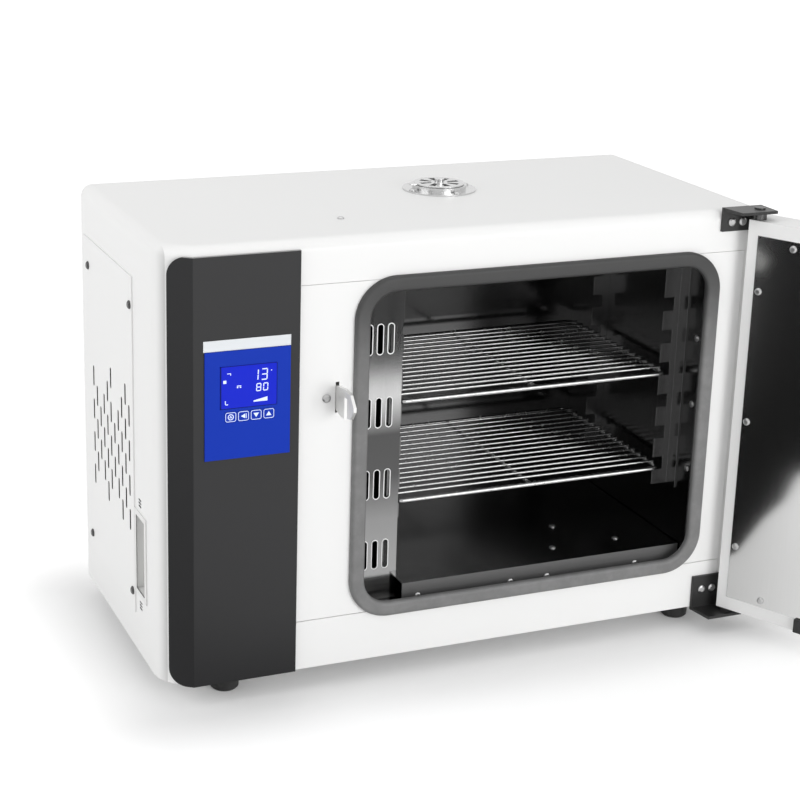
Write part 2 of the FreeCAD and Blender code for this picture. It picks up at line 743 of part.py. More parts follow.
board_y = front + sheet + 14
board = block("board", (X("foil_left") - 2, X("foil_right") + 2), (board_y, board_y + 1.6),
              (Z("foil_low") - 4, Z("foil_top") + 4))
posts = [rod("board_post_%d" % i, "Y", (x, front + sheet, z), 3, 14) for i, (x, z) in enumerate(
    (x, z) for x in (X("foil_left") + 1 - 2, X("foil_right") - 1 + 2) for z in (Z("foil_low") - 1, Z("foil_top") + 1))]
display_block = block("display_block", (X("lcd_left"), X("lcd_right")), (board_y - 9, board_y), (Z("lcd_low"), Z("lcd_top")))
parts_on_board = [block("board_part_%d" % i, (X(a), X(a) + w), (board_y + 1.6, board_y + 1.6 + h), (Z(b), Z(b) + l))
                  for i, (a, b, w, l, h) in enumerate(((48, 300, 18, 24, 14), (82, 296, 26, 30, 20), (50, 250, 24, 12, 9),
                                                      (90, 245, 16, 16, 12)))]
keep(fuse("control_board", [board, display_block] + posts + parts_on_board), "control_board")
keep(block("relay", (X(60), X(105)), (Y(180), Y(240)), (base + sheet, base + sheet + 28)), "power_relay")

# Chamber: a stainless box, open at the front, with holes for the vent tube and the fan's shaft.

chamber = new_body("inner_chamber")
plan = sketch(chamber, "XZ_Plane", front + sheet + gap)
draw_rectangle(plan, (X("chamber_left") - liner, X("chamber_right") + liner), (Z("chamber_low") - liner, Z("chamber_top") + liner))
pad(chamber, plan, Y("chamber_back") + liner - (front + sheet + gap))
space = sketch(chamber, "XZ_Plane", front)
draw_rectangle(space, (X("chamber_left"), X("chamber_right")), (Z("chamber_low"), Z("chamber_top")))
pocket(chamber, space, cell("chamber_back"))
hole = sketch(chamber, "XY_Plane", Z("chamber_top") - 1)
draw_circle(hole, (X("vent_x"), Y("vent_y")), cell("vent_tube_radius") - 3)
pocket(chamber, hole, liner + 2)
shaft_radius = 4.0
hole = sketch(chamber, "YZ_Plane", X("chamber_left") - liner - 1)
draw_circle(hole, (Y("fan_y"), Z("fan_level")), shaft_radius + 2)
pocket(chamber, hole, liner + 2)
wall_places = [(X("chamber_right"), Y(8), Z("chamber_low") + 110 + 71 * i) for i in range(3)]
wall_screws = screws("wall_screws", wall_places, Vector(-1, 0, 0), 3.4, 1.8, 1.4)
keep(cut("inner_chamber_sheet", chamber, [HOLES["wall_screws"]]), "inner_chamber")

# Floor plate over the heater, folded down at the front and the back to stand on the chamber's bottom.

floor_left, floor_right = X("duct_right") + gap, X("chamber_right") - gap - 1
floor_back = Y("chamber_back") - 1
level = Z("floor_level")
plate = block("floor_sheet", (floor_left, floor_right), (Y("floor_front"), floor_back), (level - liner, level))
fold_front = block("floor_fold_front", (floor_left, floor_right), (Y("floor_front"), Y("floor_front") + liner),
                   (Z("chamber_low"), level))
fold_back = block("floor_fold_back", (floor_left, floor_right), (floor_back - liner, floor_back), (Z("chamber_low"), level))
sill_z = Z("chamber_low") + 8.5
sill_places = [(x, Y("floor_front"), sill_z) for x in (X(267), X(371), X(413), X("chamber_right") - 53)]
floor_places = [(X("chamber_right") - back_x, Y("floor_front") + in_y, level) for back_x, in_y in ((58, 34), (106.5, 85), (134, 32.5))]
sill_screws = screws("sill_screws", sill_places, Vector(0, -1, 0), 3.4, 1.8, 3)
floor_screws = screws("floor_screws", floor_places, Vector(0, 0, 1), 3.4, 1.8, 3)
keep(cut("floor_plate_sheet", fuse("floor_plate_solid", [plate, fold_front, fold_back]),
         [HOLES["sill_screws"], HOLES["floor_screws"]]), "floor_plate")
keep(group("chamber_screws_group", [sill_screws, floor_screws, wall_screws]), "chamber_screws")

# Duct panel: a folded cover for the fan's duct, with four groups of three upright slots in its front.

duct_front = Y("duct_front")
front_wall = block("duct_front_wall", (X("chamber_left") + gap, X("duct_right")), (duct_front, duct_front + liner),
                   (Z("chamber_low") + gap, Z("chamber_top") - gap))
side_wall = block("duct_side_wall", (X("duct_side") - liner, X("duct_side")), (duct_front, Y("chamber_back") - gap),
                  (Z("chamber_low") + gap, Z("chamber_top") - gap))
group_levels = [Z("duct_group_low") + cell("duct_group_pitch") * i for i in range(4)]
front_slots = [(X("duct_slot_first") + cell("duct_slot_pitch") * i, duct_front - 3, z) for i in range(3) for z in group_levels]
side_slots = [(X("duct_side") - 4, Y("fan_y") + (i - 2) * 14, z) for i in range(5) for z in group_levels]
duct_slot_size = float(cell("duct_slot_width")), float(cell("duct_slot_length"))
duct_slots = [copies("duct_front_slots", obround(*duct_slot_size, Vector(0, 1, 0), 8), front_slots),
              copies("duct_side_slots", obround(*duct_slot_size, Vector(1, 0, 0), 8), side_slots)]
keep(cut("duct_panel_sheet", fuse("duct_sheet", [front_wall, side_wall]), duct_slots), "duct_panel")

# Shelf rails: four angle strips whose wings have a notch at each shelf height.

notch_low = Z("shelf_high") - cell("frame_rod") - gap - cell("notch_pitch") * 3
NOTCHES = 6
for name, wall, inward in (("left", X("duct_side"), 1), ("right", X("chamber_right"), -1)):
    for place, at, leg in (("front", Y("rail_front"), -1), ("rear", Y("rail_rear"), 1)):
        label = "rail_%s_%s" % (name, place)
        rail = new_body(label)
        plan = sketch(rail, "XY_Plane", Z("rail_low"))
        t = cell("shell_sheet")
        wing_x = wall + cell("rail_wing") * inward
        leg_y = at + cell("rail_leg") * leg if (name, place) != ("left", "front") else duct_front + liner + gap
        draw_polygon(plan, [(wall, leg_y), (wall + t * inward, leg_y), (wall + t * inward, at - t * -leg),
                            (wing_x, at - t * -leg), (wing_x, at), (wall, at)])
        pad(rail, plan, Z("chamber_top") - 4 - Z("rail_low"))
        notch = sketch(rail, "XZ_Plane", at - 5)
        us = (wing_x - cell("notch_depth"), wing_x + 2) if inward > 0 else (wing_x - 2, wing_x + cell("notch_depth"))
        draw_rectangle(notch, us, (notch_low, notch_low + cell("notch_height")))
        first = pocket(rail, notch, size(10))
        pattern = rail.newObject("PartDesign::LinearPattern", label + "_notches")
        pattern.Originals = [first]
        pattern.Direction = (notch, ["V_Axis"])
        bind(pattern, "Length", cell("notch_pitch") * (NOTCHES - 1))
        pattern.Occurrences = NOTCHES
        rail.Tip = pattern
        doc.recompute()
        keep(rail, label)

# Shelves: a bent ring of thick rod, one rod across the middle and thin wires welded on top.


def bent_corner(label, centre, bend, radius, turn):
    """A quarter of a ring, as bent rod, round an upright axis."""
    thing = doc.addObject("Part::Torus", label)
    bind(thing, "Radius1", bend)
    bind(thing, "Radius2", radius)
    thing.Angle3 = 90
    thing.Placement.Rotation = Rotation(Vector(0, 0, 1), turn)
    for letter, value in zip("xyz", centre):
        bind(thing, "Placement.Base." + letter, value)
    return thing


for name, height in (("shelf_upper", "shelf_high"), ("shelf_lower", "shelf_low")):
    r, w, bend = cell("frame_rod"), cell("grid_wire"), cell("shelf_bend")
    xl, xr = X("duct_side") + cell("shelf_side_gap"), X("chamber_right") - cell("shelf_side_gap")
    yf, yb, z = Y("shelf_front"), Y("shelf_back"), Z(height)
    across, deep = xr - xl - bend * 2, yb - yf - bend * 2
    rods = [rod(name + "_front_rod", "X", (xl + bend, yf, z), r, across), rod(name + "_back_rod", "X", (xl + bend, yb, z), r, across),
            rod(name + "_left_rod", "Y", (xl, yf + bend, z), r, deep), rod(name + "_right_rod", "Y", (xr, yf + bend, z), r, deep),
            rod(name + "_middle_rod", "Y", ((xl + xr) / 2, yf, z), r - 0.4, yb - yf)]
    for i, (x, y) in enumerate(((xr - bend, yb - bend), (xl + bend, yb - bend), (xl + bend, yf + bend), (xr - bend, yf + bend))):
        rods.append(bent_corner(name + "_corner_%d" % i, (x, y, z), bend, r, 90 * i))
    count = int(round(float(cell("shelf_wires"))))
    for i in range(count):
        y = yf + (yb - yf) * ((i + 1) / (count + 1))
        rods.append(rod(name + "_wire_%d" % i, "X", (xl - 1, y, z + r + w * 0.6), w, xr - xl + 2))
    keep(fuse(name, rods), name)

# Gasket: a rounded silicone band round the mouth.

seal = new_body("door_gasket")
ring = sketch(seal, "XZ_Plane", front)
band = cell("gasket_band")
gasket_x = (X("gasket_left"), X("gasket_right"))
gasket_z = (Z("gasket_low"), Z("gasket_top"))
draw_rectangle(ring, gasket_x, gasket_z)
pad(seal, ring, cell("gasket_thick"), forward=False)
fillet(seal, cell("gasket_radius"), lambda p, e: (near(p.x, gasket_x[0]) or near(p.x, gasket_x[1]))
       and (near(p.z, gasket_z[0]) or near(p.z, gasket_z[1])))
inside = sketch(seal, "XZ_Plane", front + 1)
draw_rectangle(inside, (gasket_x[0] + band, gasket_x[1] - band), (gasket_z[0] + band, gasket_z[1] - band))
pocket(seal, inside, cell("gasket_thick") + 2, forward=False)
fillet(seal, cell("gasket_radius") - band, lambda p, e: (near(p.x, gasket_x[0] + band) or near(p.x, gasket_x[1] - band))
       and (near(p.z, gasket_z[0] + band) or near(p.z, gasket_z[1] - band)))
fillet(seal, cell("gasket_thick") * 0.6, lambda p, e: near(p.y, front - cell("gasket_thick")))
keep(seal, "door_gasket")

# Insulation: five slabs of mineral wool between the chamber and the shell.

inner_x = (X("chamber_left") - liner - gap, X("chamber_right") + liner + gap)
inner_z = (Z("chamber_low") - liner - gap, Z("chamber_top") + liner + gap)
wool_y = (front + sheet + 1, back - 8)
bay_wall = X(150)
tube_r = cell("vent_tube_radius")
wool_top = block("wool_top", (inner_x[0], inner_x[1]), wool_y, (inner_z[1], top - cell("top_edge_radius")))
tube_space = rod("wool_top_hole", "Z", (X("vent_x"), Y("vent_y"), inner_z[1] - 1), tube_r + gap, size(80))
keep(cut("insulation_top", wool_top, [tube_space]), "insulation_top")
keep(block("insulation_bottom", inner_x, wool_y, (base + sheet + gap, inner_z[0])), "insulation_bottom")
wool_left = block("wool_left", (bay_wall, inner_x[0] - gap), (wool_y[0], Y("chamber_back")),
                  (base + sheet + gap, top - sheet - gap - 12))
motor_space = rod("wool_left_hole", "X", (bay_wall - 1, Y("fan_y"), Z("fan_level")), 36, size(80))
catch_space = block("wool_left_catch", (catch_x - 22, catch_x + 8), (front, front + 18), (catch_low - 4, catch_top + 4))
keep(cut("insulation_left", wool_left, [motor_space, catch_space]), "insulation_left")
grip_space = block("wool_right_grip", (right - cell("grip_deep") - 3, right), (Y("grip_front") - 3, Y("grip_back") + 3),
                   (Z("grip_low") - 3, Z("grip_top") + 3))
corner_space = block("wool_right_corner", (flat_right, right), (front, front + cell("right_radius")), (base, top))
wool_right = block("wool_right", (inner_x[1] + gap, right - sheet - gap), (wool_y[0], Y("chamber_back")),
                   (base + sheet + gap, top - 14))
keep(cut("insulation_right", wool_right, [grip_space, corner_space]), "insulation_right")
keep(block("insulation_rear", (bay_wall, right - sheet - gap), (Y("chamber_back") + liner + gap, back - 8),
           (inner_z[0] + gap, inner_z[1] - gap)), "insulation_rear")

# Heater: a sheathed rod bent to and fro in four runs under the floor plate, on two clips.

heater_r = 4.0
heater_z = float(Z("chamber_low")) + 11
x0, x1 = float(X("duct_right")) + 25, float(X("chamber_right")) - 40
run_pitch = (float(Y("chamber_back")) - float(Y("floor_front")) - 70) / 3
ys = [float(Y("floor_front")) + 32 + run_pitch * i for i in range(4)]
edges = []
for i, y in enumerate(ys):
    a, b = (x0, x1) if i % 2 == 0 else (x1, x0)
    edges.append(Part.LineSegment(Vector(a, y, heater_z), Vector(b, y, heater_z)).toShape())
    if i + 1 < len(ys):
        bow = run_pitch / 2 if b > a else -run_pitch / 2
        edges.append(Part.Arc(Vector(b, y, heater_z), Vector(b + bow, (y + ys[i + 1]) / 2, heater_z),
                              Vector(b, ys[i + 1], heater_z)).toShape())
path = Part.Wire(edges)
ring = Part.Wire([Part.Circle(Vector(x0, ys[0], heater_z), Vector(1, 0, 0), heater_r).toShape()])
tube = path.makePipeShell([ring], True, True)
clips = [Part.makeBox(6, ys[-1] - ys[0] + 16, heater_z - heater_r * 0.5 - float(Z("chamber_low")),
                      Vector(x, ys[0] - 8, float(Z("chamber_low")))) for x in (x0 + 40, x1 - 40)]
heater = doc.addObject("Part::Feature", "heater_element")
heater.Shape = tube.fuse(clips)
keep(heater, "heater_element")

# Fan: a bay motor on three pillars through the wool, and a drum impeller in the duct.

motor_x = X(96)
motor = rod("motor_can", "X", (motor_x, Y("fan_y"), Z("fan_level")), 38, size(44))
neck = rod("motor_neck", "X", (motor_x + 44, Y("fan_y"), Z("fan_level")), 11, X("chamber_left") - liner - motor_x - 44)
pillars = [rod("motor_pillar_%d" % i, "X", (motor_x + 40, Y("fan_y") + dy, Z("fan_level") + dz), 3,
               X("chamber_left") - liner - motor_x - 40) for i, (dy, dz) in enumerate(((0, 30), (-26, -15), (26, -15)))]
bore = rod("motor_bore", "X", (motor_x + 20, Y("fan_y"), Z("fan_level")), size(shaft_radius) + cell("pin_clearance"), size(200))
keep(cut("fan_motor", fuse("motor_solid", [motor, neck] + pillars), [bore]), "fan_motor")
fan_x = X("chamber_left") + cell("fan_inset")
blade_length = X("duct_side") - liner - cell("fan_gap") - fan_x
shaft_end = fan_x + blade_length - 2
keep(rod("fan_shaft", "X", (motor_x + 21, Y("fan_y"), Z("fan_level")), shaft_radius, shaft_end - motor_x - 21), "fan_shaft")
wheel = new_body("fan_impeller")
disc = sketch(wheel, "YZ_Plane", fan_x)
draw_circle(disc, (size(0), size(0)), cell("fan_radius"))
draw_circle(disc, (size(0), size(0)), shaft_radius)
pad(wheel, disc, size(1.2))
hub = sketch(wheel, "YZ_Plane", fan_x)
draw_circle(hub, (size(0), size(0)), 9)
draw_circle(hub, (size(0), size(0)), shaft_radius)
pad(wheel, hub, blade_length - 8)
blade = sketch(wheel, "YZ_Plane", fan_x)
fan_r = cell("fan_radius")
draw_polygon(blade, [(fan_r - 14, size(-4)), (fan_r - 1, size(1)), (fan_r - 1, size(2.2)), (fan_r - 14, size(-2.8))])
blade_pad = pad(wheel, blade, blade_length)
polar(wheel, blade_pad, origin_axis(wheel, "X_Axis"), cell("fan_blades"))
wheel.Placement.Base = Vector(0, float(Y("fan_y")), float(Z("fan_level")))
bind(wheel, "Placement.Base.y", Y("fan_y"))
bind(wheel, "Placement.Base.z", Z("fan_level"))
doc.recompute()
keep(wheel, "fan_impeller")

# Temperature probe through the chamber's back, near the top.

probe_z = Z("chamber_top") - 24
probe = rod("probe_rod", "Y", (X(300), Y("chamber_back") - 55, probe_z), 2.5, size(55))
collar = rod("probe_collar", "Y", (X(300), Y("chamber_back") - 5, probe_z), 6, size(5))
keep(fuse("temperature_probe", [probe, collar]), "temperature_probe")

# Top vent: a flanged tube and a turning disc, both with eight petals, closed or opened by turning the disc.

petals = cell("vent_petals")
vent = new_body("vent_base")
ring = sketch(vent, "XY_Plane", top)
draw_circle(ring, (size(0), size(0)), cell("vent_flange_radius"))
pad(vent, ring, size(1.5))
rim = sketch(vent, "XY_Plane", top)
draw_circle(rim, (size(0), size(0)), cell("vent_disc_radius"))
pad(vent, rim, cell("vent_rise"))
stem = sketch(vent, "XY_Plane", Z("chamber_top") + liner)
draw_circle(stem, (size(0), size(0)), tube_r)
pad(vent, stem, top - Z("chamber_top") - liner + 2)
bore = sketch(vent, "XY_Plane", Z("chamber_top") + liner - 1)
draw_circle(bore, (size(0), size(0)), tube_r - 2)
pocket(vent, bore, top + cell("vent_rise") - 2 - Z("chamber_top") - liner + 1)


def petal_outline(drawing, inner, outer, width):
    """A wedge-like opening across the disc: straight sides between two widths."""
    draw_polygon(drawing, [(size(inner), size(-width * 0.3)), (size(outer), size(-width * 0.5)),
                           (size(outer), size(width * 0.5)), (size(inner), size(width * 0.3))])


petal = sketch(vent, "XY_Plane", top + cell("vent_rise") - 3)
petal_outline(petal, 9, 21, 7)
petal_cut = pocket(vent, petal, size(5))
polar(vent, petal_cut, origin_axis(vent, "Z_Axis"), petals)
bind(vent, "Placement.Base.x", vx)
bind(vent, "Placement.Base.y", vy)
keep(cut("vent_base_turned", vent, [HOLES["vent_screws_set"]]), "vent_base")

damper = new_body("vent_damper")
disc_z = top + cell("vent_rise") + gap
plate = sketch(damper, "XY_Plane", disc_z)
draw_circle(plate, (size(0), size(0)), cell("vent_disc_radius") - 2)
pad(damper, plate, size(1.2))
petal = sketch(damper, "XY_Plane", disc_z - 1)
petal_outline(petal, 9, 21, 7)
petal_cut = pocket(damper, petal, size(4))
polar(damper, petal_cut, origin_axis(damper, "Z_Axis"), petals)
knob = sketch(damper, "XY_Plane", disc_z)
draw_circle(knob, (size(0), size(0)), 5)
pad(damper, knob, size(5))
tab = sketch(damper, "XY_Plane", disc_z)
draw_rectangle(tab, (-(cell("vent_disc_radius") + 5), -(cell("vent_disc_radius") - 6)), (size(-3), size(3)))
pad(damper, tab, size(1.2))
bind(damper, "Placement.Base.x", vx)
bind(damper, "Placement.Base.y", vy)
doc.recompute()
keep(damper, "vent_damper")
keep(vent_screws, "vent_screws")

# Hinge brackets: black angles screwed to the front, with a wing over and a wing under the door.

axis_x, axis_y = X("axis_x"), Y("axis_y")
pin_r = cell("pin_radius")
for name, wing_z, plate_z in (("hinge_bracket_top", (top, top + bt), (top - cell("bracket_plate"), top + bt)),
                              ("hinge_bracket_bottom", (base - bt, base), (base - bt, base + cell("bracket_plate_low")))):
    plate = block(name + "_plate", (bx[0], bx[1] - 5.5), (front - bt, front), plate_z)
    wing = new_body(name + "_wing")
    plan = sketch(wing, "XY_Plane", wing_z[0])
    wing_tip = front - cell("bracket_reach")
    draw_polygon(plan, [(bx[0], front), (bx[0] + cell("bracket_slant"), wing_tip), (bx[1], wing_tip), (bx[1], front)])
    pad(wing, plan, bt)
    eye = rod(name + "_eye", "Z", (axis_x, axis_y, wing_z[0] - 1), pin_r, bt + 2)
    keep(cut(name + "_sheet", fuse(name + "_angle", [plate, wing]), [eye, HOLES["bracket_screws"]]), name)
door_low, door_top = Z("door_low"), Z("door_top")
pin_in = size(13)
pin_top = fuse("pin_top_solid", [rod("pin_top_stem", "Z", (axis_x, axis_y, door_top - pin_in), pin_r, top + bt - door_top + pin_in),
                                 rod("pin_top_collar", "Z", (axis_x, axis_y, door_top + gap), pin_r + 4, top - door_top - gap),
                                 rod("pin_top_head", "Z", (axis_x, axis_y, top + bt), pin_r + 2, size(1.6))])
keep(pin_top, "hinge_pin_top")
pin_bottom = fuse("pin_bottom_solid", [rod("pin_bottom_stem", "Z", (axis_x, axis_y, base - bt), pin_r, door_low + pin_in - base + bt),
                                       rod("pin_bottom_collar", "Z", (axis_x, axis_y, base), pin_r + 4, door_low - gap - base),
                                       rod("pin_bottom_head", "Z", (axis_x, axis_y, base - bt - 3), pin_r + 2.5, size(3))])
keep(pin_bottom, "hinge_pin_bottom")

# Catch: a hooked plate through the front, with a foot screwed behind it.

hook = new_body("catch_hook")
side = sketch(hook, "YZ_Plane", catch_x - cell("catch_sheet") / 2)
reach = front - cell("catch_reach")
draw_polygon(side, [(front + 14, catch_low + 3), (front + 14, catch_top - 3), (front, catch_top - 3), (front - 24, catch_top),
                    (front - 36, catch_top - 2), (reach, catch_top - 12), (reach, catch_low + 14), (reach + 7, catch_low + 5),
                    (front - 29, catch_low + 3), (front - 29, catch_low + 22), (front - 21, catch_low + 22),
                    (front - 21, catch_low), (front - 14, catch_low), (front, catch_low + 3)])
pad(hook, side, cell("catch_sheet"))
foot_plate = sketch(hook, "XZ_Plane", front + sheet)
draw_rectangle(foot_plate, (catch_x - 20, catch_x + cell("catch_sheet") / 2), (catch_low + 3, catch_top - 3))
pad(hook, foot_plate, size(2))
keep(cut("catch_hook_sheet", hook, [HOLES["catch_screw"]]), "catch_hook")
keep(group("front_screws_group", [bracket_screws, catch_screw]), "front_screws")

# Door, drawn closed and then swung open about the hinge axis.



def swing(thing):
    """Turns a piece that was drawn closed about the hinge axis, by the angle in the sheet."""
    if thing.TypeId.startswith("Part::Box") or thing.TypeId == "Part::Cylinder":
        thing = group(thing.Label + "_swung", [thing])
    angle, ax, ay = cell("door_angle").text, axis_x.text, axis_y.text
    thing.Placement = Placement(Vector(), Rotation(Vector(0, 0, 1), float(cell("door_angle"))))
    thing.setExpression("Placement.Rotation.Angle", angle)
    thing.setExpression("Placement.Base.x", "%s - %s * cos(%s) + %s * sin(%s)" % (ax, ax, angle, ay, angle))
    thing.setExpression("Placement.Base.y", "%s - %s * sin(%s) - %s * cos(%s)" % (ay, ax, angle, ay, angle))
    return thing


dl, dr = X("door_left"), X("door_right")
dy_in, dy_out = front - cell("door_inner"), front - cell("door_inner") - cell("door_thick")
rim_side, rim_end, flange = cell("door_rim_side"), cell("door_rim_end"), cell("door_flange")
doc.recompute()

panel_sheet = 0.8
column_places = [(x, dy_in + panel_sheet, Z(z)) for x in (dl + 17, dr - 17) for z in (77, 215.5, 354)]
row_pitch = (dr - dl - 102) / 3
row_places = [(dr - 51 - row_pitch * i, dy_in + panel_sheet, z) for i in range(4) for z in (door_low + 21.5, door_top - 22)]
door_screws = screws("door_screws", column_places + row_places, Vector(0, 1, 0), 3.6, 1.8, 2.3)
pan = new_body("door_pan")
outline = sketch(pan, "XZ_Plane", dy_out)
draw_rectangle(outline, (dl, dr), (door_low, door_top))
pad(pan, outline, cell("door_thick"))
inside = sketch(pan, "XZ_Plane", dy_in - sheet)
draw_rectangle(inside, (dl + sheet, dr - sheet), (door_low + sheet, door_top - sheet))
pocket(pan, inside, cell("door_thick") - sheet * 2, forward=False)
fillet(pan, size(6) - sheet, lambda p, e: near(p.y, dy_out + sheet))
fillet(pan, size(6), lambda p, e: near(p.y, dy_out))
mouth = sketch(pan, "XZ_Plane", dy_in - sheet - 1)
draw_rectangle(mouth, (dl + flange, dr - flange), (door_low + flange, door_top - flange))
pocket(pan, mouth, sheet + 2)
latch_x, latch_z = X("latch_x"), Z("latch_level")
hole = sketch(pan, "XZ_Plane", dy_out - 1)
draw_circle(hole, (latch_x, latch_z), 6)
pocket(pan, hole, sheet + 3)
for edge_z in (door_top - sheet - 1, door_low - 1):
    hole = sketch(pan, "XY_Plane", edge_z)
    draw_circle(hole, (axis_x, axis_y), pin_r + cell("pin_clearance"))
    pocket(pan, hole, sheet + 2)
keep(swing(cut("door_pan_drilled", pan, [HOLES["door_screws"]])), "door_shell")

bush_half = 4.6
bush_blocks = []
for name, zs in (("top", (door_top - sheet - 18, door_top - sheet)), ("bottom", (door_low + sheet, door_low + sheet + 18))):
    solid = block("bush_%s_solid" % name, (axis_x - 14, dr - sheet), (dy_out + sheet + 12, dy_in - sheet), zs)
    eye = rod("bush_%s_eye" % name, "Z", (axis_x, axis_y, zs[0] - 1), pin_r + cell("pin_clearance"), size(20))
    bush_blocks.append(cut("bush_" + name, solid, [eye]))
keep(swing(group("door_hinge_blocks", bush_blocks)), "door_hinge_blocks")

inner = new_body("door_inner_panel")
face = sketch(inner, "XZ_Plane", dy_in)
draw_rectangle(face, (dl + rim_side, dr - rim_side), (door_low + rim_end, door_top - rim_end))
pad(inner, face, panel_sheet)
slot = sketch(inner, "XZ_Plane", dy_in - 2)
draw_rectangle(slot, (catch_x - 5, catch_x + 5), (catch_low - 5, catch_top + 5))
pocket(inner, slot, size(6))
keep(swing(cut("door_inner_sheet", inner, [HOLES["door_screws"]])), "door_inner_panel")

wool = block("door_wool_slab", (dl + sheet + 4, dr - sheet - 4), (dy_out + sheet + gap, dy_in - sheet - gap),
             (door_low + sheet + 4, door_top - sheet - 4))
lock_space = block("door_wool_lock", (catch_x - 14, latch_x + 14), (dy_out, dy_in + 2), (latch_z - 46, catch_top + 10))
hinge_space = [block("door_wool_hinge_%d" % i, (axis_x - 16, dr), (dy_out, dy_in + 2), zs) for i, zs in enumerate(
    ((door_top - 22, door_top), (door_low, door_low + 22)))]
keep(swing(cut("door_wool", wool, [lock_space] + hinge_space)), "door_insulation")

keep(swing(door_screws), "door_panel_screws")

# Latch: a lever outside the door on a spindle that carries the tongue inside it.

plate = rod("handle_rose", "Y", (latch_x, dy_out - 3, latch_z), 17, size(3))
rose_bore = rod("handle_rose_bore", "Y", (latch_x, dy_out - 4, latch_z), 5 + 0.05, size(6))
keep(swing(cut("handle_rose_ring", plate, [rose_bore])), "handle_rose")
spindle = rod("handle_spindle", "Y", (latch_x, dy_out - 24, latch_z), 5, dy_in - dy_out + 24 - 8)
boss = rod("handle_boss", "Y", (latch_x, dy_out - 34, latch_z), 13, size(30.5))
arm = block("handle_arm", (latch_x, latch_x + cell("handle_length") - 9), (dy_out - 34, dy_out - 22), (latch_z - 9, latch_z + 9))
tip = rod("handle_tip", "Y", (latch_x + cell("handle_length") - 9, dy_out - 34, latch_z), 9, size(12))
keep(swing(fuse("door_handle_solid", [boss, arm, tip, spindle])), "door_handle")
tongue_y = (front - 28.5, front - 21.5)
tongue = new_body("latch_tongue")
face = sketch(tongue, "XZ_Plane", tongue_y[1])
draw_polygon(face, [(latch_x - 5, latch_z - 34), (latch_x + 5, latch_z - 34), (latch_x + 9, latch_z - 6), (latch_x + 9, latch_z + 9),
                    (latch_x - 9, latch_z + 9), (latch_x - 9, latch_z - 6)])
pad(tongue, face, size(7), forward=False)
hole = sketch(tongue, "XZ_Plane", tongue_y[1] + 1)
draw_circle(hole, (latch_x, latch_z), 5)
pocket(tongue, hole, size(9), forward=False)
keep(swing(tongue), "latch_tongue")

# Rubber stop on the inside of the door's lower rim.

stop_x = dr - 92
keep(swing(block("door_stop_block", (stop_x - 16, stop_x), (dy_in, dy_in + 4), (door_low, door_low + rim_end - gap))), "door_stop")

doc.recompute()
broken = [o.Label for o in doc.Objects if "Invalid" in o.State or "Error" in o.State]
if broken:
    raise RuntimeError("failed objects: %s" % broken)
os.makedirs("parts", exist_ok=True)
for label, thing in KEPT:
    shape = thing.Shape
    if shape.isNull() or not shape.isValid() or not shape.Solids:
        raise RuntimeError("%s has no valid solid" % label)
for label, thing in KEPT:
    thing.Shape.exportStep("parts/%s.step" % label)
    print(label, len(thing.Shape.Solids), round(thing.Shape.Volume))
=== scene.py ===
import math

import bpy
import numpy as np
from mathutils import Matrix, Vector


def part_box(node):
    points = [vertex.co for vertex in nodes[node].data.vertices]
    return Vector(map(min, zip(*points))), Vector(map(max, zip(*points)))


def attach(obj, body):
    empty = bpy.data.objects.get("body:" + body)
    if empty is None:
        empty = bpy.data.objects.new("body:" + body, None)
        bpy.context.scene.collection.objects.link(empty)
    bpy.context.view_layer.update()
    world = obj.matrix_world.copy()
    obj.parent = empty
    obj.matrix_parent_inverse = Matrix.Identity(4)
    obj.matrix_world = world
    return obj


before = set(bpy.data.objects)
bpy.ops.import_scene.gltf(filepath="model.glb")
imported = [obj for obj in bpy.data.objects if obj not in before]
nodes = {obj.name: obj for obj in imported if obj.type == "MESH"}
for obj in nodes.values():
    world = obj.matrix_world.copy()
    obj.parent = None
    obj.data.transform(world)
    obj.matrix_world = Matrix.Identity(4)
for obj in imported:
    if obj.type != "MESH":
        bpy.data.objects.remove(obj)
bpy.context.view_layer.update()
MM = 0.001
SHELL_LOW, SHELL_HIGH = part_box("outer_shell")
GRIP_LOW, GRIP_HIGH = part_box("hand_grip_left")


# Finishes: a wire stands for one socket of a material's node tree, so a finish is plain arithmetic on the
# piece's own coordinates.

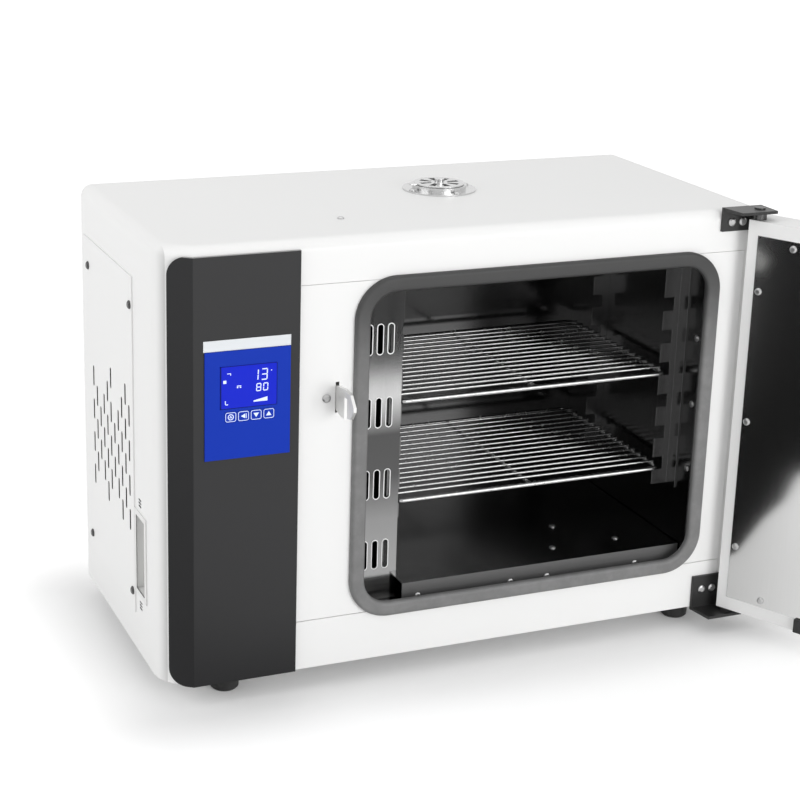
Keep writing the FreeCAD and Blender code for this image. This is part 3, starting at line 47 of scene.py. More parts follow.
class Wire:
    """One socket of a material's node tree. Arithmetic on wires adds Math nodes."""

    def __init__(self, socket):
        self.socket = socket

    def node(self, kind, settings=None, inputs=None, output=0):
        """Adds a node with its settings and its sockets' values or wires. Returns one of its outputs."""
        tree = self.socket.id_data
        made = tree.nodes.new(kind)
        for name, value in (settings or {}).items():
            setattr(made, name, value)
        for name, value in (inputs or {}).items():
            if isinstance(value, Wire):
                tree.links.new(value.socket, made.inputs[name])
            else:
                made.inputs[name].default_value = value
        return Wire(made.outputs[output])

    def maths(self, operation, *values, clamp=False):
        """A Math node on these values."""
        settings = {"operation": operation, "use_clamp": clamp}
        return self.node("ShaderNodeMath", settings, dict(enumerate(values)))

    def __add__(self, other):
        return self.maths("ADD", self, other)

    def __sub__(self, other):
        return self.maths("SUBTRACT", self, other)

    def __rsub__(self, other):
        return self.maths("SUBTRACT", other, self)

    def __mul__(self, other):
        return self.maths("MULTIPLY", self, other)

    def __gt__(self, other):
        return self.maths("GREATER_THAN", self, other)

    def __lt__(self, other):
        return self.maths("LESS_THAN", self, other)

    def axis(self, letter):
        """One coordinate of a vector."""
        return self.node("ShaderNodeSeparateXYZ", None, {0: self}, letter)

    def scaled(self, x, y, z):
        """A vector stretched along the axes."""
        return self.node("ShaderNodeVectorMath", {"operation": "MULTIPLY"}, {0: self, 1: (x, y, z)})

    def noise(self, scale, detail=2.0, roughness=0.5):
        """Noise from 0 to 1 at a number of waves a metre."""
        inputs = {"Vector": self, "Scale": scale, "Detail": detail, "Roughness": roughness}
        return self.node("ShaderNodeTexNoise", None, inputs, "Fac")

    def between(self, low, high):
        """How far the value is from low to high, smoothly, kept from 0 to 1."""
        inputs = {"Value": self, "From Min": low, "From Max": high}
        return self.node("ShaderNodeMapRange", {"interpolation_type": "SMOOTHSTEP"}, inputs)

    def mixed(self, first, second):
        """A colour from first to second as this value goes from 0 to 1."""
        inputs = {0: self}
        for name, value in ((6, first), (7, second)):
            inputs[name] = value if isinstance(value, Wire) else (*value, 1.0)
        return self.node("ShaderNodeMix", {"data_type": "RGBA", "blend_type": "MIX"}, inputs, 2)

    def banded(self, stops):
        """Greys along this value, each stop being a place from 0 to 1 and a tone."""
        made = self.node("ShaderNodeValToRGB", None, {"Fac": self})
        ramp = made.socket.node.color_ramp
        while len(ramp.elements) < len(stops):
            ramp.elements.new(0.5)
        for element, (place, tone) in zip(ramp.elements, stops):
            element.position = place
            element.color = (*grey(tone), 1.0)
        return made

    def bump(self, strength, distance, onto=None):
        """A Bump node fed by this height."""
        inputs = {"Height": self, "Strength": strength, "Distance": distance}
        if onto is not None:
            inputs["Normal"] = onto
        return self.node("ShaderNodeBump", None, inputs)

    def soft_edge(self, radius):
        """A normal that rounds the edges of what it is on."""
        return self.node("ShaderNodeBevel", {"samples": 4}, {"Radius": radius})


def grey(tone):
    """A colour without a hue."""
    return (tone, tone, tone)


def scaled_tone(tone, factor):
    """A colour made darker or paler by a factor, with white as its end."""
    return [min(1.0, c * factor) for c in tone]


def start_finish():
    """A new material, as the wire of its Object coordinates."""
    made = bpy.data.materials.new("finish")
    made.use_nodes = True
    made.node_tree.nodes.clear()
    return Wire(made.node_tree.nodes.new("ShaderNodeTexCoord").outputs["Object"])


def end_finish(place, name, **sockets):
    """Closes the material with a Principled shader whose sockets take these values or wires."""
    tree = place.socket.id_data
    inputs = {key.replace("_", " "): value for key, value in sockets.items()}
    shader = place.node("ShaderNodeBsdfPrincipled", None, inputs)
    output = tree.nodes.new("ShaderNodeOutputMaterial")
    tree.links.new(shader.socket, output.inputs["Surface"])
    for made in bpy.data.materials:
        if made.node_tree is tree:
            made.name = name
            return made


WELD_REACH = 0.01 * MM
CREASE = math.radians(32)


def dress(finish, *names):
    """Gives CAD nodes a material, joins their loose triangles and shades shallow creases smooth."""
    for name in names:
        piece = nodes[name]
        mesh = piece.data
        mesh.materials.clear()
        mesh.materials.append(finish)
        mesh.polygons.foreach_set("use_smooth", np.ones(len(mesh.polygons), dtype=bool))
        weld = piece.modifiers.new("joined", "WELD")
        weld.merge_threshold = WELD_REACH
        split = piece.modifiers.new("creases", "EDGE_SPLIT")
        split.split_angle = CREASE


# The sheet cabinet: a wrap over the top and both sides, a front with two seams, a base tray, a back and a
# screwed side cover, all in steel sheet with a white powder coat. The coat has a faint orange peel and soft
# edges. The boxes in which it is painted dark, a painted shade, are given by two corners in the shared
# frame.

PAINTED_SHADE_INSIDE = ((-0.4160, 0.105, 0.0235), (0.1745, 0.3645, 0.4537))
COVER_SLOTS = ((-0.43835, 0.185, 0.070), (-0.4155, 0.345, 0.400))
CLIP_SLOT_X, CLIP_SLOT_Z = (-0.43715, 0.1940), (0.176, 0.059)
CLIP_SLOT_FRONT, CLIP_SLOT_BACK = 0.144, 0.159
CLIP_SLOT_DEEP, CLIP_SLOT_TALL = 0.0015, 0.024
SLANT_EDGE, SLANT_NEAR, SLANT_FAR = -0.4296, 0.084, 0.102
DRIFT_WAVES, SHINE_WAVES, PEEL_WAVES = 6.0, 40.0, 620.0
PEEL_DEPTH = 0.06 * MM

PAINTED_SHADE_SLOT_WALLS = [COVER_SLOTS]
for x in CLIP_SLOT_X:
    for z in CLIP_SLOT_Z:
        far_corner = (x + CLIP_SLOT_DEEP, CLIP_SLOT_BACK, z + CLIP_SLOT_TALL)
        PAINTED_SHADE_SLOT_WALLS.append(((x, CLIP_SLOT_FRONT, z), far_corner))


def in_box(place, corners):
    """One inside a box given by its two corners, and zero outside it."""
    inside = 1.0
    for letter, low, high in zip("XYZ", *corners):
        at = place.axis(letter)
        inside = (at > low) * (at < high) * inside
    return inside


def powder_coat(name, tone, rough, peel, cabinet=False):
    """Sprayed and baked coat: small soft waves in the surface, and a tone that drifts very little.

    The cabinet's sheet is painted near black on its inner faces and on the walls of its slots, a painted
    shade.
    A painted shade also greys the slanted fold beside the control panel.
    """
    place = start_finish()
    drift_and_painted_shade = place.noise(DRIFT_WAVES, 2.0).mixed(scaled_tone(tone, 0.985), tone)
    if cabinet:
        # Painted shade: the slanted fold beside the control panel grows greyer towards the panel.
        painted_shade_on_slant = (place.axis("X") < SLANT_EDGE) * place.axis("Y").between(SLANT_FAR, SLANT_NEAR)
        drift_and_painted_shade = painted_shade_on_slant.mixed(drift_and_painted_shade, scaled_tone(tone, 0.62))
        # Painted shade: the sheet's inner faces and the walls of its slots are painted near black.
        drift_and_painted_shade = in_box(place, PAINTED_SHADE_INSIDE).mixed(drift_and_painted_shade, grey(0.02))
        for walls in PAINTED_SHADE_SLOT_WALLS:
            drift_and_painted_shade = in_box(place, walls).mixed(drift_and_painted_shade, grey(0.03))
    shine = place.noise(SHINE_WAVES, 3.0) * 0.06 + rough
    waves = place.noise(PEEL_WAVES, 2.0).bump(peel, PEEL_DEPTH, place.soft_edge(0.7 * MM))
    return end_finish(place, name, Base_Color=drift_and_painted_shade, Roughness=shine, Normal=waves)


white_coat = powder_coat("white_powder_coat", (0.87, 0.87, 0.865), 0.42, 0.10, cabinet=True)
dress(white_coat, "outer_shell", "front_panel", "base_tray", "back_panel", "left_side_cover", "door_shell")


# Hand grips: moulded pockets clipped into both sides, pale grey, with a slightly shinier skin than the coat.

def moulded(name, tone, rough, grain):
    """Moulded plastic: a fine even grain and a slight change of shine."""
    place = start_finish()
    shine = place.noise(90.0, 2.0) * 0.08 + rough
    texture = place.noise(1400.0, 2.0).bump(grain, 0.05 * MM, place.soft_edge(0.5 * MM))
    return end_finish(place, name, Base_Color=(*tone, 1.0), Roughness=shine, Normal=texture)


dress(moulded("pale_moulding", (0.80, 0.80, 0.79), 0.4, 0.2), "hand_grip_left", "hand_grip_right")


# Feet and the door's stop: black rubber, matt, with a dusty bloom on it.

def rubber(name, tone, rough, grain, grain_depth):
    """Rubber in this tone: a fine dry grain over a skin whose shine changes a little."""
    place = start_finish()
    shine = place.noise(60.0) * 0.1 + rough
    skin = place.noise(900.0, 3.0).bump(grain, grain_depth, place.soft_edge(0.6 * MM))
    return end_finish(place, name, Base_Color=tone(place), Roughness=shine, Normal=skin)


def bloom(place, dark, pale):
    """Two close tones in soft patches."""
    return place.noise(70.0, 4.0, 0.6).between(0.35, 0.75).mixed(grey(dark), grey(pale))


def dusty_black(place):
    """Black with a dusty bloom."""
    return bloom(place, 0.012, 0.022)


dress(rubber("black_rubber", dusty_black, 0.55, 0.35, 0.06 * MM), "feet", "door_stop")


# Control panel: a folded steel plate with a dark satin coat, standing a little proud of the front.

PANEL_TOP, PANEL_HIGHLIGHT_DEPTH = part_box("control_panel")[1][2], 0.2 * MM


def panel_coat():
    """The dark coat of the panel, with a painted highlight along its top face."""
    place = start_finish()
    painted_highlight = place.axis("Z") > PANEL_TOP - PANEL_HIGHLIGHT_DEPTH
    dark = place.noise(DRIFT_WAVES, 2.0).mixed((0.023, 0.023, 0.024), (0.024, 0.024, 0.025))
    shine = place.noise(SHINE_WAVES, 3.0) * 0.06 + 0.42
    waves = place.noise(PEEL_WAVES, 2.0).bump(0.22, PEEL_DEPTH, place.soft_edge(0.5 * MM))
    return end_finish(place, "panel_coat", Base_Color=painted_highlight.mixed(dark, grey(0.30)), Roughness=shine,
                      Normal=waves, Specular_IOR_Level=0.3)


dress(panel_coat(), "control_panel")


# Display foil: a printed blue foil with a soft gloss, four keys in it, and a bare silver strip above it.

KEYS = ("key_set", "key_left", "key_down", "key_up")


def printed_foil(name, tone, rough):
    """Back-printed foil: an even colour under a clear satin skin."""
    place = start_finish()
    even = place.noise(25.0, 2.0).mixed(scaled_tone(tone, 0.94), tone)
    shine = place.noise(50.0) * 0.05 + rough
    skin = place.noise(2200.0, 2.0).bump(0.12, 0.03 * MM, place.soft_edge(0.3 * MM))
    return end_finish(place, name, Base_Color=even, Roughness=shine, Normal=skin, Specular_IOR_Level=0.12)


dress(printed_foil("blue_foil", (0.004, 0.036, 0.44), 0.38), "display_foil", *KEYS)


def streaks_along(place, along):
    """Fine streaks along one axis, from 0 to 1."""
    stretch = {"X": (12, 900, 900), "Y": (900, 12, 900), "Z": (900, 900, 12)}[along]
    return place.scaled(*stretch).noise(1.0, 3.0, 0.6)


def brushed(name, tone, rough, along, contrast=0.12):
    """Brushed or rolled metal: fine streaks along one direction in tone, shine and height."""
    place = start_finish()
    streaks = streaks_along(place, along)
    patches = streaks * 0.5 + place.noise(9.0, 3.0) * 0.5
    colour = patches.mixed(scaled_tone(tone, 1 - contrast), scaled_tone(tone, 1 + contrast))
    skin = streaks.bump(0.05, 0.02 * MM, place.soft_edge(0.4 * MM))
    shine = streaks * 0.08 + rough
    return end_finish(place, name, Base_Color=colour, Metallic=1.0, Roughness=shine, Normal=skin)


dress(brushed("silver_strip_metal", (0.60, 0.62, 0.64), 0.38, "X"), "silver_strip")


# Display: a backlit blue window sunk in the foil, with white digits and small marks lit on it. The outlines
# of the prints are drawn in millimetres.

def lit(name, tone, glow, strength):
    """A lit surface: its colour and the light that it gives."""
    place = start_finish()
    even = place.noise(60.0, 2.0)
    return end_finish(place, name, Base_Color=(*tone, 1.0), Roughness=0.18, Specular_IOR_Level=0.1,
                      Emission_Color=even.mixed(scaled_tone(glow, 0.9), glow), Emission_Strength=strength)


dress(lit("backlit_window", (0.004, 0.010, 0.20), (0.008, 0.018, 0.55), 0.85), "lcd_window")
white_marks = lit("white_marks", (0.55, 0.60, 0.75), (0.62, 0.72, 1.0), 0.55)

MARK_RISE, SHADOW_FRAME_RISE, PRINT_RISE = 0.08 * MM, 0.04 * MM, 0.05 * MM
LIP_RISE, SLOT_SHADE_RISE, SHADE_RISE = 0.25 * MM, 0.3 * MM, 0.1 * MM


def piece_from(name, points, faces, finish, body, slot):
    """A new piece from arrays of points and faces, riding on a CAD body."""
    mesh = bpy.data.meshes.new(name)
    mesh.from_pydata(np.asarray(points, dtype=float).tolist(), [], [list(map(int, f)) for f in faces])
    mesh.materials.append(finish)
    made = bpy.data.objects.new(name, mesh)
    bpy.context.scene.collection.objects.link(made)
    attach(made, body)


def plates(outlines, face_y, rise):
    """Flat plates on a face that looks along -Y: each outline, in X and Z, becomes a prism of that rise."""
    points, faces = [], []
    for outline in outlines:
        ring = np.asarray(outline, dtype=float)
        after = np.roll(ring, -1, axis=0)
        twice_area = np.sum(ring[:, 0] * after[:, 1] - after[:, 0] * ring[:, 1])
        if twice_area < 0:
            ring = ring[::-1]
        count, first = len(ring), len(points)
        for depth in (face_y - rise, face_y):
            points += [(x, depth, z) for x, z in ring]
        faces.append([first + i for i in range(count)])
        faces.append([first + count + i for i in reversed(range(count))])
        for i in range(count):
            j = (i + 1) % count
            faces.append([first + i, first + count + i, first + count + j, first + j])
    return points, faces


def placed(outlines, x, z):
    """Outlines drawn in millimetres, set round a place given in metres."""
    return [[(x + across * MM, z + up * MM) for across, up in outline] for outline in outlines]


def bar(x, z, width, height, lean=0.0):
    """A rectangle by its centre, with its top pushed sideways by a lean."""
    a, b, push = width / 2, height / 2, lean * height / 2
    low, high = z - b, z + b
    return [(x - a - push, low), (x + a - push, low), (x + a + push, high), (x - a + push, high)]


def rectangle(first, last, low, high):
    """An upright rectangle by its ends along the face and in Z."""
    return [(first, low), (last, low), (last, high), (first, high)]


SEGMENTS = {"0": "abcdef", "1": "bc", "3": "abcdg", "8": "abcdefg"}
LEAN, SHORT_ACROSS, SHORT_UP = 0.05, 1.25, 1.1


def digit(mark, x, z, width, height, stroke):
    """The outlines of a seven-segment digit by its centre."""
    a, b = width / 2 - stroke / 2, height / 2 - stroke / 2
    run, rise = width - stroke * SHORT_ACROSS, height / 2 - stroke * SHORT_UP
    spots = {"a": (0, b, run, stroke), "g": (0, 0, run, stroke), "d": (0, -b, run, stroke),
             "f": (-a, b / 2, stroke, rise), "b": (a, b / 2, stroke, rise),
             "e": (-a, -b / 2, stroke, rise), "c": (a, -b / 2, stroke, rise)}
    outlines = []
    for segment in SEGMENTS[mark]:
        across, up, wide, tall = spots[segment]
        outlines.append(bar(x + across + LEAN * up, z + up, wide, tall, LEAN if tall > wide else 0.0))
    return outlines


UPPER_DIGITS = {"z": 30.8, "width": 6.2, "height": 11.2, "stroke": 1.05}
LOWER_DIGITS = {"z": 18.6, "width": 5.0, "height": 7.8, "stroke": 0.95}
WEDGE = [(32.6, 4.8), (46.2, 4.8), (46.2, 8.8), (32.6, 6.0)]
SMALL_MARKS = [(8.6, 34.2, 3.6, 0.7), (10.2, 33.2, 0.7, 1.6), (4.6, 26.4, 3.0, 3.0), (18.4, 21.6, 4.2, 0.8),
               (17.0, 20.2, 1.4, 1.2), (19.8, 20.2, 1.4, 1.2), (5.2, 6.4, 0.8, 3.4), (6.6, 4.4, 2.4, 0.8),
               (50.0, 34.0, 0.9, 0.9)]

lcd_low, lcd_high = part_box("lcd_window")
lcd_face = lcd_low[1]
marks = digit("1", 34.4, **UPPER_DIGITS) + digit("3", 43.2, **UPPER_DIGITS)
marks += digit("8", 37.6, **LOWER_DIGITS) + digit("0", 44.4, **LOWER_DIGITS)
marks += [WEDGE] + [bar(*mark) for mark in SMALL_MARKS]
marks = placed(marks, lcd_low[0], lcd_low[2])
piece_from("display_marks", *plates(marks, lcd_face, MARK_RISE), white_marks, "cabinet", "lcd_blue")


# Window frame: a painted shadow round the sunk display, widest along its left.

def window_painted_shadow(x0, x1, z0, z1, left, other):
    """A thin frame inside the window: a wide strip at the left and narrow ones at the other sides."""
    return [rectangle(x0, x0 + left, z0, z1), rectangle(x0, x1, z1 - other, z1),
            rectangle(x1 - other, x1, z0, z1), rectangle(x0, x1, z0, z0 + other)]


painted_shadow_foil = printed_foil("shaded_blue", (0.002, 0.010, 0.13), 0.5)
shadow_frame = window_painted_shadow(lcd_low[0], lcd_high[0], lcd_low[2], lcd_high[2], 1.3 * MM, 0.6 * MM)
piece_from("window_painted_shadow", *plates(shadow_frame, lcd_face, SHADOW_FRAME_RISE), painted_shadow_foil, "cabinet", "lcd_blue")


# Key prints: a white rounded outline round each key and a white sign on it, printed on the foil.

def between_loops(outer, inner):
    """The quads between two loops that have as many points."""
    count = len(outer)
    return [[tuple(outer[i]), tuple(outer[(i + 1) % count]), tuple(inner[(i + 1) % count]), tuple(inner[i])]
            for i in range(count)]


def ring_plates(width, height, radius, stroke, steps=6):
    """A rounded rectangular outline round the origin, as a ring of small quads."""
    corners = ((1, 1, 0.0), (-1, 1, math.pi / 2), (-1, -1, math.pi), (1, -1, math.pi * 1.5))

    def loop(inset):
        r = radius - inset
        a, b = width / 2 - inset - r, height / 2 - inset - r
        turn = np.radians(np.linspace(0, 90, steps))
        parts = [np.stack([sx * a + r * np.cos(turn + base), sz * b + r * np.sin(turn + base)], axis=1)
                 for sx, sz, base in corners]
        return np.concatenate(parts)
    return between_loops(loop(0.0), loop(stroke))


def round_loop(radius, steps=12):
    """Points on a circle round the origin."""
    turn = np.radians(np.arange(0, 360, 360 / steps))
    return np.stack([radius * np.cos(turn), radius * np.sin(turn)], axis=1)


SET_DOTS = [bar(0.8 * math.cos(a), 0.8 * math.sin(a), 1.0, 1.0) for a in np.radians((90, 210, 330))]
KEY_SIGNS = {
    "key_set": between_loops(round_loop(3.0), round_loop(2.2)) + SET_DOTS,
    "key_left": [[(-2.6, 0.0), (1.6, -2.3), (1.6, 2.3)], bar(2.6, 0.0, 0.7, 4.6)],
    "key_down": [[(0.0, -2.3), (2.7, 1.9), (-2.7, 1.9)]],
    "key_up": [[(-2.7, -1.9), (2.7, -1.9), (0.0, 2.3)]],
}
KEY_OUTLINE = ring_plates(10.4, 9.2, 2.0, 0.55)

# The prints take the lit white of the display's marks, so they glow: a painted glow on plain print.
for key in KEYS:
    low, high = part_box(key)
    prints = placed(KEY_OUTLINE + KEY_SIGNS[key], (low[0] + high[0]) / 2, (low[2] + high[2]) / 2)
    piece_from(key + "_print", *plates(prints, low[1], PRINT_RISE), white_marks, key, "key_blue")


# Chamber: stainless sheet, rolled smooth and painted dark, a painted shade. The duct panel is brighter, with
# grey bands along its height that are painted reflections, and a fine bright lip round each slot of its
# front.

DUCT_LIP = 12 * MM
duct_low, duct_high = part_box("duct_panel")
DUCT_FRONT, DUCT_SIDE, DUCT_TALL = duct_low[1], duct_high[0] - DUCT_LIP, duct_high[2] - duct_low[2]
DUCT_REFLECTION_BANDS = ((0.08, 0.36), (0.27, 0.28), (0.41, 0.10), (0.54, 0.09), (0.66, 0.58), (1.0, 0.62))
SILL_BACK, SILL_TOP = 0.0945, 0.0760
FLOOR_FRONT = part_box("floor_plate")[0][1]


def chamber_sheet():
    """Stainless in painted shade, with a duller sill at the floor's front that is painted pale: a painted
    reflection.
    """
    place = start_finish()
    streaks = streaks_along(place, "X")
    sill = (place.axis("Y") < SILL_BACK) * (place.axis("Z") < SILL_TOP)
    plain = streaks.mixed(grey(0.10), grey(0.12))
    tone = sill.mixed(plain, (0.30, 0.30, 0.295))
    return end_finish(place, "chamber_stainless", Base_Color=tone, Metallic=1.0,
                      Roughness=streaks * 0.08 + 0.14 + sill * 0.25)


def duct_sheet():
    """Rolled sheet in bands of painted reflection. The side facing the fan is painted shade, so slots read
    dark.
    """
    place = start_finish()
    bands = ((place.axis("Z") - duct_low[2]) * (1 / DUCT_TALL)).banded(DUCT_REFLECTION_BANDS)
    streaks = streaks_along(place, "Z")
    behind = (place.axis("Y") > DUCT_FRONT + 0.15 * MM) * (place.axis("X") < DUCT_SIDE - 0.3 * MM)
    return end_finish(place, "duct_stainless", Base_Color=behind.mixed(bands, grey(0.015)),
                      Metallic=1.0 - behind, Roughness=streaks * 0.08 + 0.08 + behind * 0.6)


def floor_sheet():
    """Rolled sheet painted dark, a painted shade, whose front fold is duller, rubbed by trays."""
    place = start_finish()
    streaks = streaks_along(place, "X")
    fold = place.axis("Y") < FLOOR_FRONT + 0.6 * MM
    plain = streaks.mixed(grey(0.13), grey(0.15))
    return end_finish(place, "floor_stainless", Base_Color=fold.mixed(plain, grey(0.13)),
                      Metallic=1.0 - fold * 0.6, Roughness=streaks * 0.08 + 0.14 + fold * 0.3)


dress(chamber_sheet(), "inner_chamber")
dress(duct_sheet(), "duct_panel")
# The rails and the probe are a dark grey: a painted shade, as in the chamber.
dress(brushed("rail_stainless", grey(0.17), 0.16, "Z", 0.06), "rail_left_front", "rail_left_rear",
      "rail_right_front", "rail_right_rear", "temperature_probe")
dress(floor_sheet(), "floor_plate")

FIRST_SLOT_X, SLOT_PITCH, SLOT_COLUMNS = -222.785, 11.2, 3
FIRST_SLOT_Z, SLOT_RISE, SLOT_GROUPS = 120.0, 74.7, 4
SLOT_LIP = ring_plates(7.4, 31.8, 3.7, 0.9)

lips = []
for group in range(SLOT_GROUPS):
    for column in range(SLOT_COLUMNS):
        middle = (FIRST_SLOT_X + SLOT_PITCH * column) * MM, (FIRST_SLOT_Z + SLOT_RISE * group) * MM
        lips += placed(SLOT_LIP, *middle)
lip_metal = brushed("punched_lip", grey(0.85), 0.5, "Z", 0.05)
piece_from("duct_slot_lips", *plates(lips, DUCT_FRONT, LIP_RISE), lip_metal, "cabinet", "stainless")


# Shelves: rings of bright drawn wire with thin wires welded across them.

def drawn_wire():
    """Bright wire: drawn lines too fine to see, and small dull spots where it has been handled."""
    place = start_finish()
    spots = place.noise(160.0, 3.0, 0.6).between(0.45, 0.8)
    tone = spots.mixed(grey(0.46), (0.36, 0.36, 0.355))
    return end_finish(place, "bright_wire", Base_Color=tone, Metallic=1.0, Roughness=spots * 0.12 + 0.2)


dress(drawn_wire(), "shelf_upper", "shelf_lower")


# Grips: dark plates behind the clip slots of both sides, and dark plates along two edges of the left pocket:
# both are painted shade.

SLOT_SHADE_Y = (GRIP_LOW[1] + 12 * MM, GRIP_LOW[1] + 29 * MM)
SLOT_SHADE_NEAR, SLOT_SHADE_FAR = 2 * MM, 19 * MM
SLOT_SHADE_LEFT, SLOT_SHADE_RIGHT = SHELL_LOW[0] + 1.6 * MM, SHELL_HIGH[0] - 1.3 * MM
POCKET_FRONT, POCKET_BACK = GRIP_LOW[1] + 5.5 * MM, GRIP_HIGH[1] - 5.2 * MM
POCKET_FLOOR = GRIP_LOW[2] + 5.2 * MM
SHADE_LOW, SHADE_HIGH = GRIP_LOW[2] + 5.5 * MM, GRIP_HIGH[2] - 5.5 * MM
SHADE_WIDE, SHADE_TALL, SHADE_FACE = 1.2 * MM, 1.4 * MM, SHELL_LOW[0] - 0.9 * MM


def side_plates(outlines, face_x, rise):
    """Flat plates on a face that looks along -X, each outline given in Y and Z."""
    points, faces = plates([[(-y, z) for y, z in outline] for outline in outlines], face_x, rise)
    return [(depth, -x, z) for x, depth, z in points], faces


dark_gap = moulded("dark_gap", grey(0.02), 0.6, 0.2)
slot_shade_plates = [rectangle(*SLOT_SHADE_Y, GRIP_HIGH[2] + SLOT_SHADE_NEAR, GRIP_HIGH[2] + SLOT_SHADE_FAR),
           rectangle(*SLOT_SHADE_Y, GRIP_LOW[2] - SLOT_SHADE_FAR, GRIP_LOW[2] - SLOT_SHADE_NEAR)]
shades = [rectangle(POCKET_BACK - SHADE_WIDE, POCKET_BACK, SHADE_LOW, SHADE_HIGH),
          rectangle(POCKET_FRONT, POCKET_BACK, POCKET_FLOOR, POCKET_FLOOR + SHADE_TALL)]
for name, outlines, face_x, rise in (("grip_slot_shade_left", slot_shade_plates, SLOT_SHADE_LEFT, SLOT_SHADE_RISE),
                                     ("grip_slot_shade_right", slot_shade_plates, SLOT_SHADE_RIGHT, SLOT_SHADE_RISE),
                                     ("grip_shade", shades, SHADE_FACE, SHADE_RISE)):
    piece_from(name, *side_plates(outlines, face_x, rise), dark_gap, "cabinet", "black_plastic")


# Rear flange: the wrapped sheet's folded edge, which covers the gap over the back panel.

FLANGE_SHEET, FLANGE_BEND, FLANGE_DROP, FLANGE_END = 1.0 * MM, 2.0 * MM, 13 * MM, 12 * MM


def folded_strip(low_x, high_x, outline):
    """A strip along X whose section, in Y and Z, is this outline."""
    count = len(outline)
    points = [(x, y, z) for x in (low_x, high_x) for y, z in outline]
    faces = [list(range(count)), [count + i for i in reversed(range(count))]]
    faces += [[i, count + i, count + (i + 1) % count, (i + 1) % count] for i in range(count)]
    return points, faces


def quarter_bend(y, z, radius, degrees):
    """Points of a bend round a centre, counted from straight up towards the back."""
    return [(y + radius * math.sin(a), z + radius * math.cos(a)) for a in np.radians(degrees)]


fold_y, fold_z = SHELL_HIGH[1], SHELL_HIGH[2] - FLANGE_SHEET
bend_centre = fold_y - FLANGE_BEND, fold_z - FLANGE_BEND
section = quarter_bend(*bend_centre, FLANGE_BEND, (0, 30, 60, 90))
section += [(fold_y, fold_z - FLANGE_DROP), (fold_y - FLANGE_SHEET, fold_z - FLANGE_DROP)]
section += quarter_bend(*bend_centre, FLANGE_BEND - FLANGE_SHEET, (90, 60, 30, 0))
flange = folded_strip(SHELL_LOW[0] + FLANGE_END, SHELL_HIGH[0] - FLANGE_END, section)
piece_from("rear_flange", *flange, white_coat, "cabinet", "white_steel")


# Door seal: a band of grey silicone with a soft matt skin.

def grey_with_painted_top_shade(place):
    """Grey silicone, darker along its upper run: a painted shade."""
    painted_top_shade = place.axis("Z").between(0.30, 0.405)
    return painted_top_shade.mixed(bloom(place, 0.165, 0.20), grey(0.042))


dress(rubber("grey_silicone", grey_with_painted_top_shade, 0.5, 0.25, 0.05 * MM), "door_gasket")


# Heater, fan, bay and wool: what the sheets hold inside, seen only through slots or when the door is open.

dress(brushed("heat_tinted_sheath", (0.30, 0.27, 0.24), 0.35, "X", 0.25), "heater_element")
dress(brushed("blackened_aluminium", grey(0.10), 0.4, "Y"), "fan_impeller")
dress(brushed("ground_steel", grey(0.55), 0.25, "X"), "fan_shaft")
dress(powder_coat("motor_enamel", (0.03, 0.03, 0.035), 0.4, 0.3), "fan_motor")
dress(moulded("board_laminate", (0.02, 0.14, 0.06), 0.4, 0.3), "control_board")
dress(moulded("black_moulding", grey(0.015), 0.42, 0.25), "power_relay", "power_inlet", "handle_rose",
      "door_handle")


def wool():
    """Mineral wool: long soft fibres that cross each other, in two pale tones."""
    place = start_finish()
    fibre = place.scaled(60, 900, 400).noise(1.0, 4.0, 0.7)
    tone = fibre.mixed((0.60, 0.55, 0.40), (0.80, 0.76, 0.62))
    tufts = fibre.bump(0.8, 0.6 * MM)
    return end_finish(place, "mineral_wool", Base_Color=tone, Roughness=0.95, Normal=tufts)


dress(wool(), "insulation_top", "insulation_bottom", "insulation_left", "insulation_right",
      "insulation_rear", "door_insulation")


# Top vent, catch, pins and screws: small parts of bright, dark or zinc-coated steel.

dress(brushed("vent_stainless", grey(0.62), 0.22, "X"), "vent_base", "vent_damper")
dress(brushed("zinc_coat", (0.60, 0.61, 0.62), 0.32, "Z", 0.08), "latch_tongue", "door_hinge_blocks")
dress(brushed("pale_zinc_coat", (0.82, 0.82, 0.81), 0.42, "Z", 0.05), "catch_hook")
dress(brushed("dark_screw_steel", grey(0.10), 0.3, "X"), "side_screws", "hinge_pin_top", "hinge_pin_bottom")
dress(brushed("screw_steel", grey(0.50), 0.28, "X", 0.1), "vent_screws", "chamber_screws", "front_screws",
      "door_panel_screws")


# Hinge brackets: thick steel angles with a black satin coat.

black_coat = powder_coat("black_satin_coat", grey(0.014), 0.34, 0.2)
dress(black_coat, "hinge_bracket_top", "hinge_bracket_bottom")


# Door's inner panel: a flat sheet of bright stainless, screwed on over the door's wool.

def mirror_sheet():
    """Sheet polished to a mirror, with a trace of its rolling lines."""
    place = start_finish()
    lines = streaks_along(place, "Z")
    tone = lines.mixed((0.63, 0.63, 0.625), (0.68, 0.68, 0.675))
    skin = lines.bump(0.02, 0.01 * MM, place.soft_edge(0.4 * MM))
    return end_finish(place, "door_stainless", Base_Color=tone, Metallic=1.0, Roughness=lines * 0.02 + 0.085,
                      Normal=skin)


dress(mirror_sheet(), "door_inner_panel")


# Studio: a pale floor that fades into a white background. A camera, a mirror or a pane sees the floor lifted
# to white. The lift is smaller near the cabinet, which paints a darker band round it: a painted shadow.

FLOOR_HALF, FLOOR_TONE = 14.0, 0.86
LIFT_IN_PAINTED_SHADOW, LIFT_NEAR, LIFT_FAR = 0.08, 0.36, 0.66
SHADOW_REACH, FADE_START, FADE_END = 0.12, 0.5, 2.8
AMBIENT, WHITE = 0.62, 1.0
PURE_WHITE = (1.0, 1.0, 1.0, 1.0)


def seen_rays(tree):
    """One for a ray that comes straight from the camera, a mirror or a pane, as a wire."""
    rays = tree.nodes.new("ShaderNodeLightPath").outputs
    return Wire(rays["Is Camera Ray"]) + Wire(rays["Is Glossy Ray"]) + Wire(rays["Is Transmission Ray"])


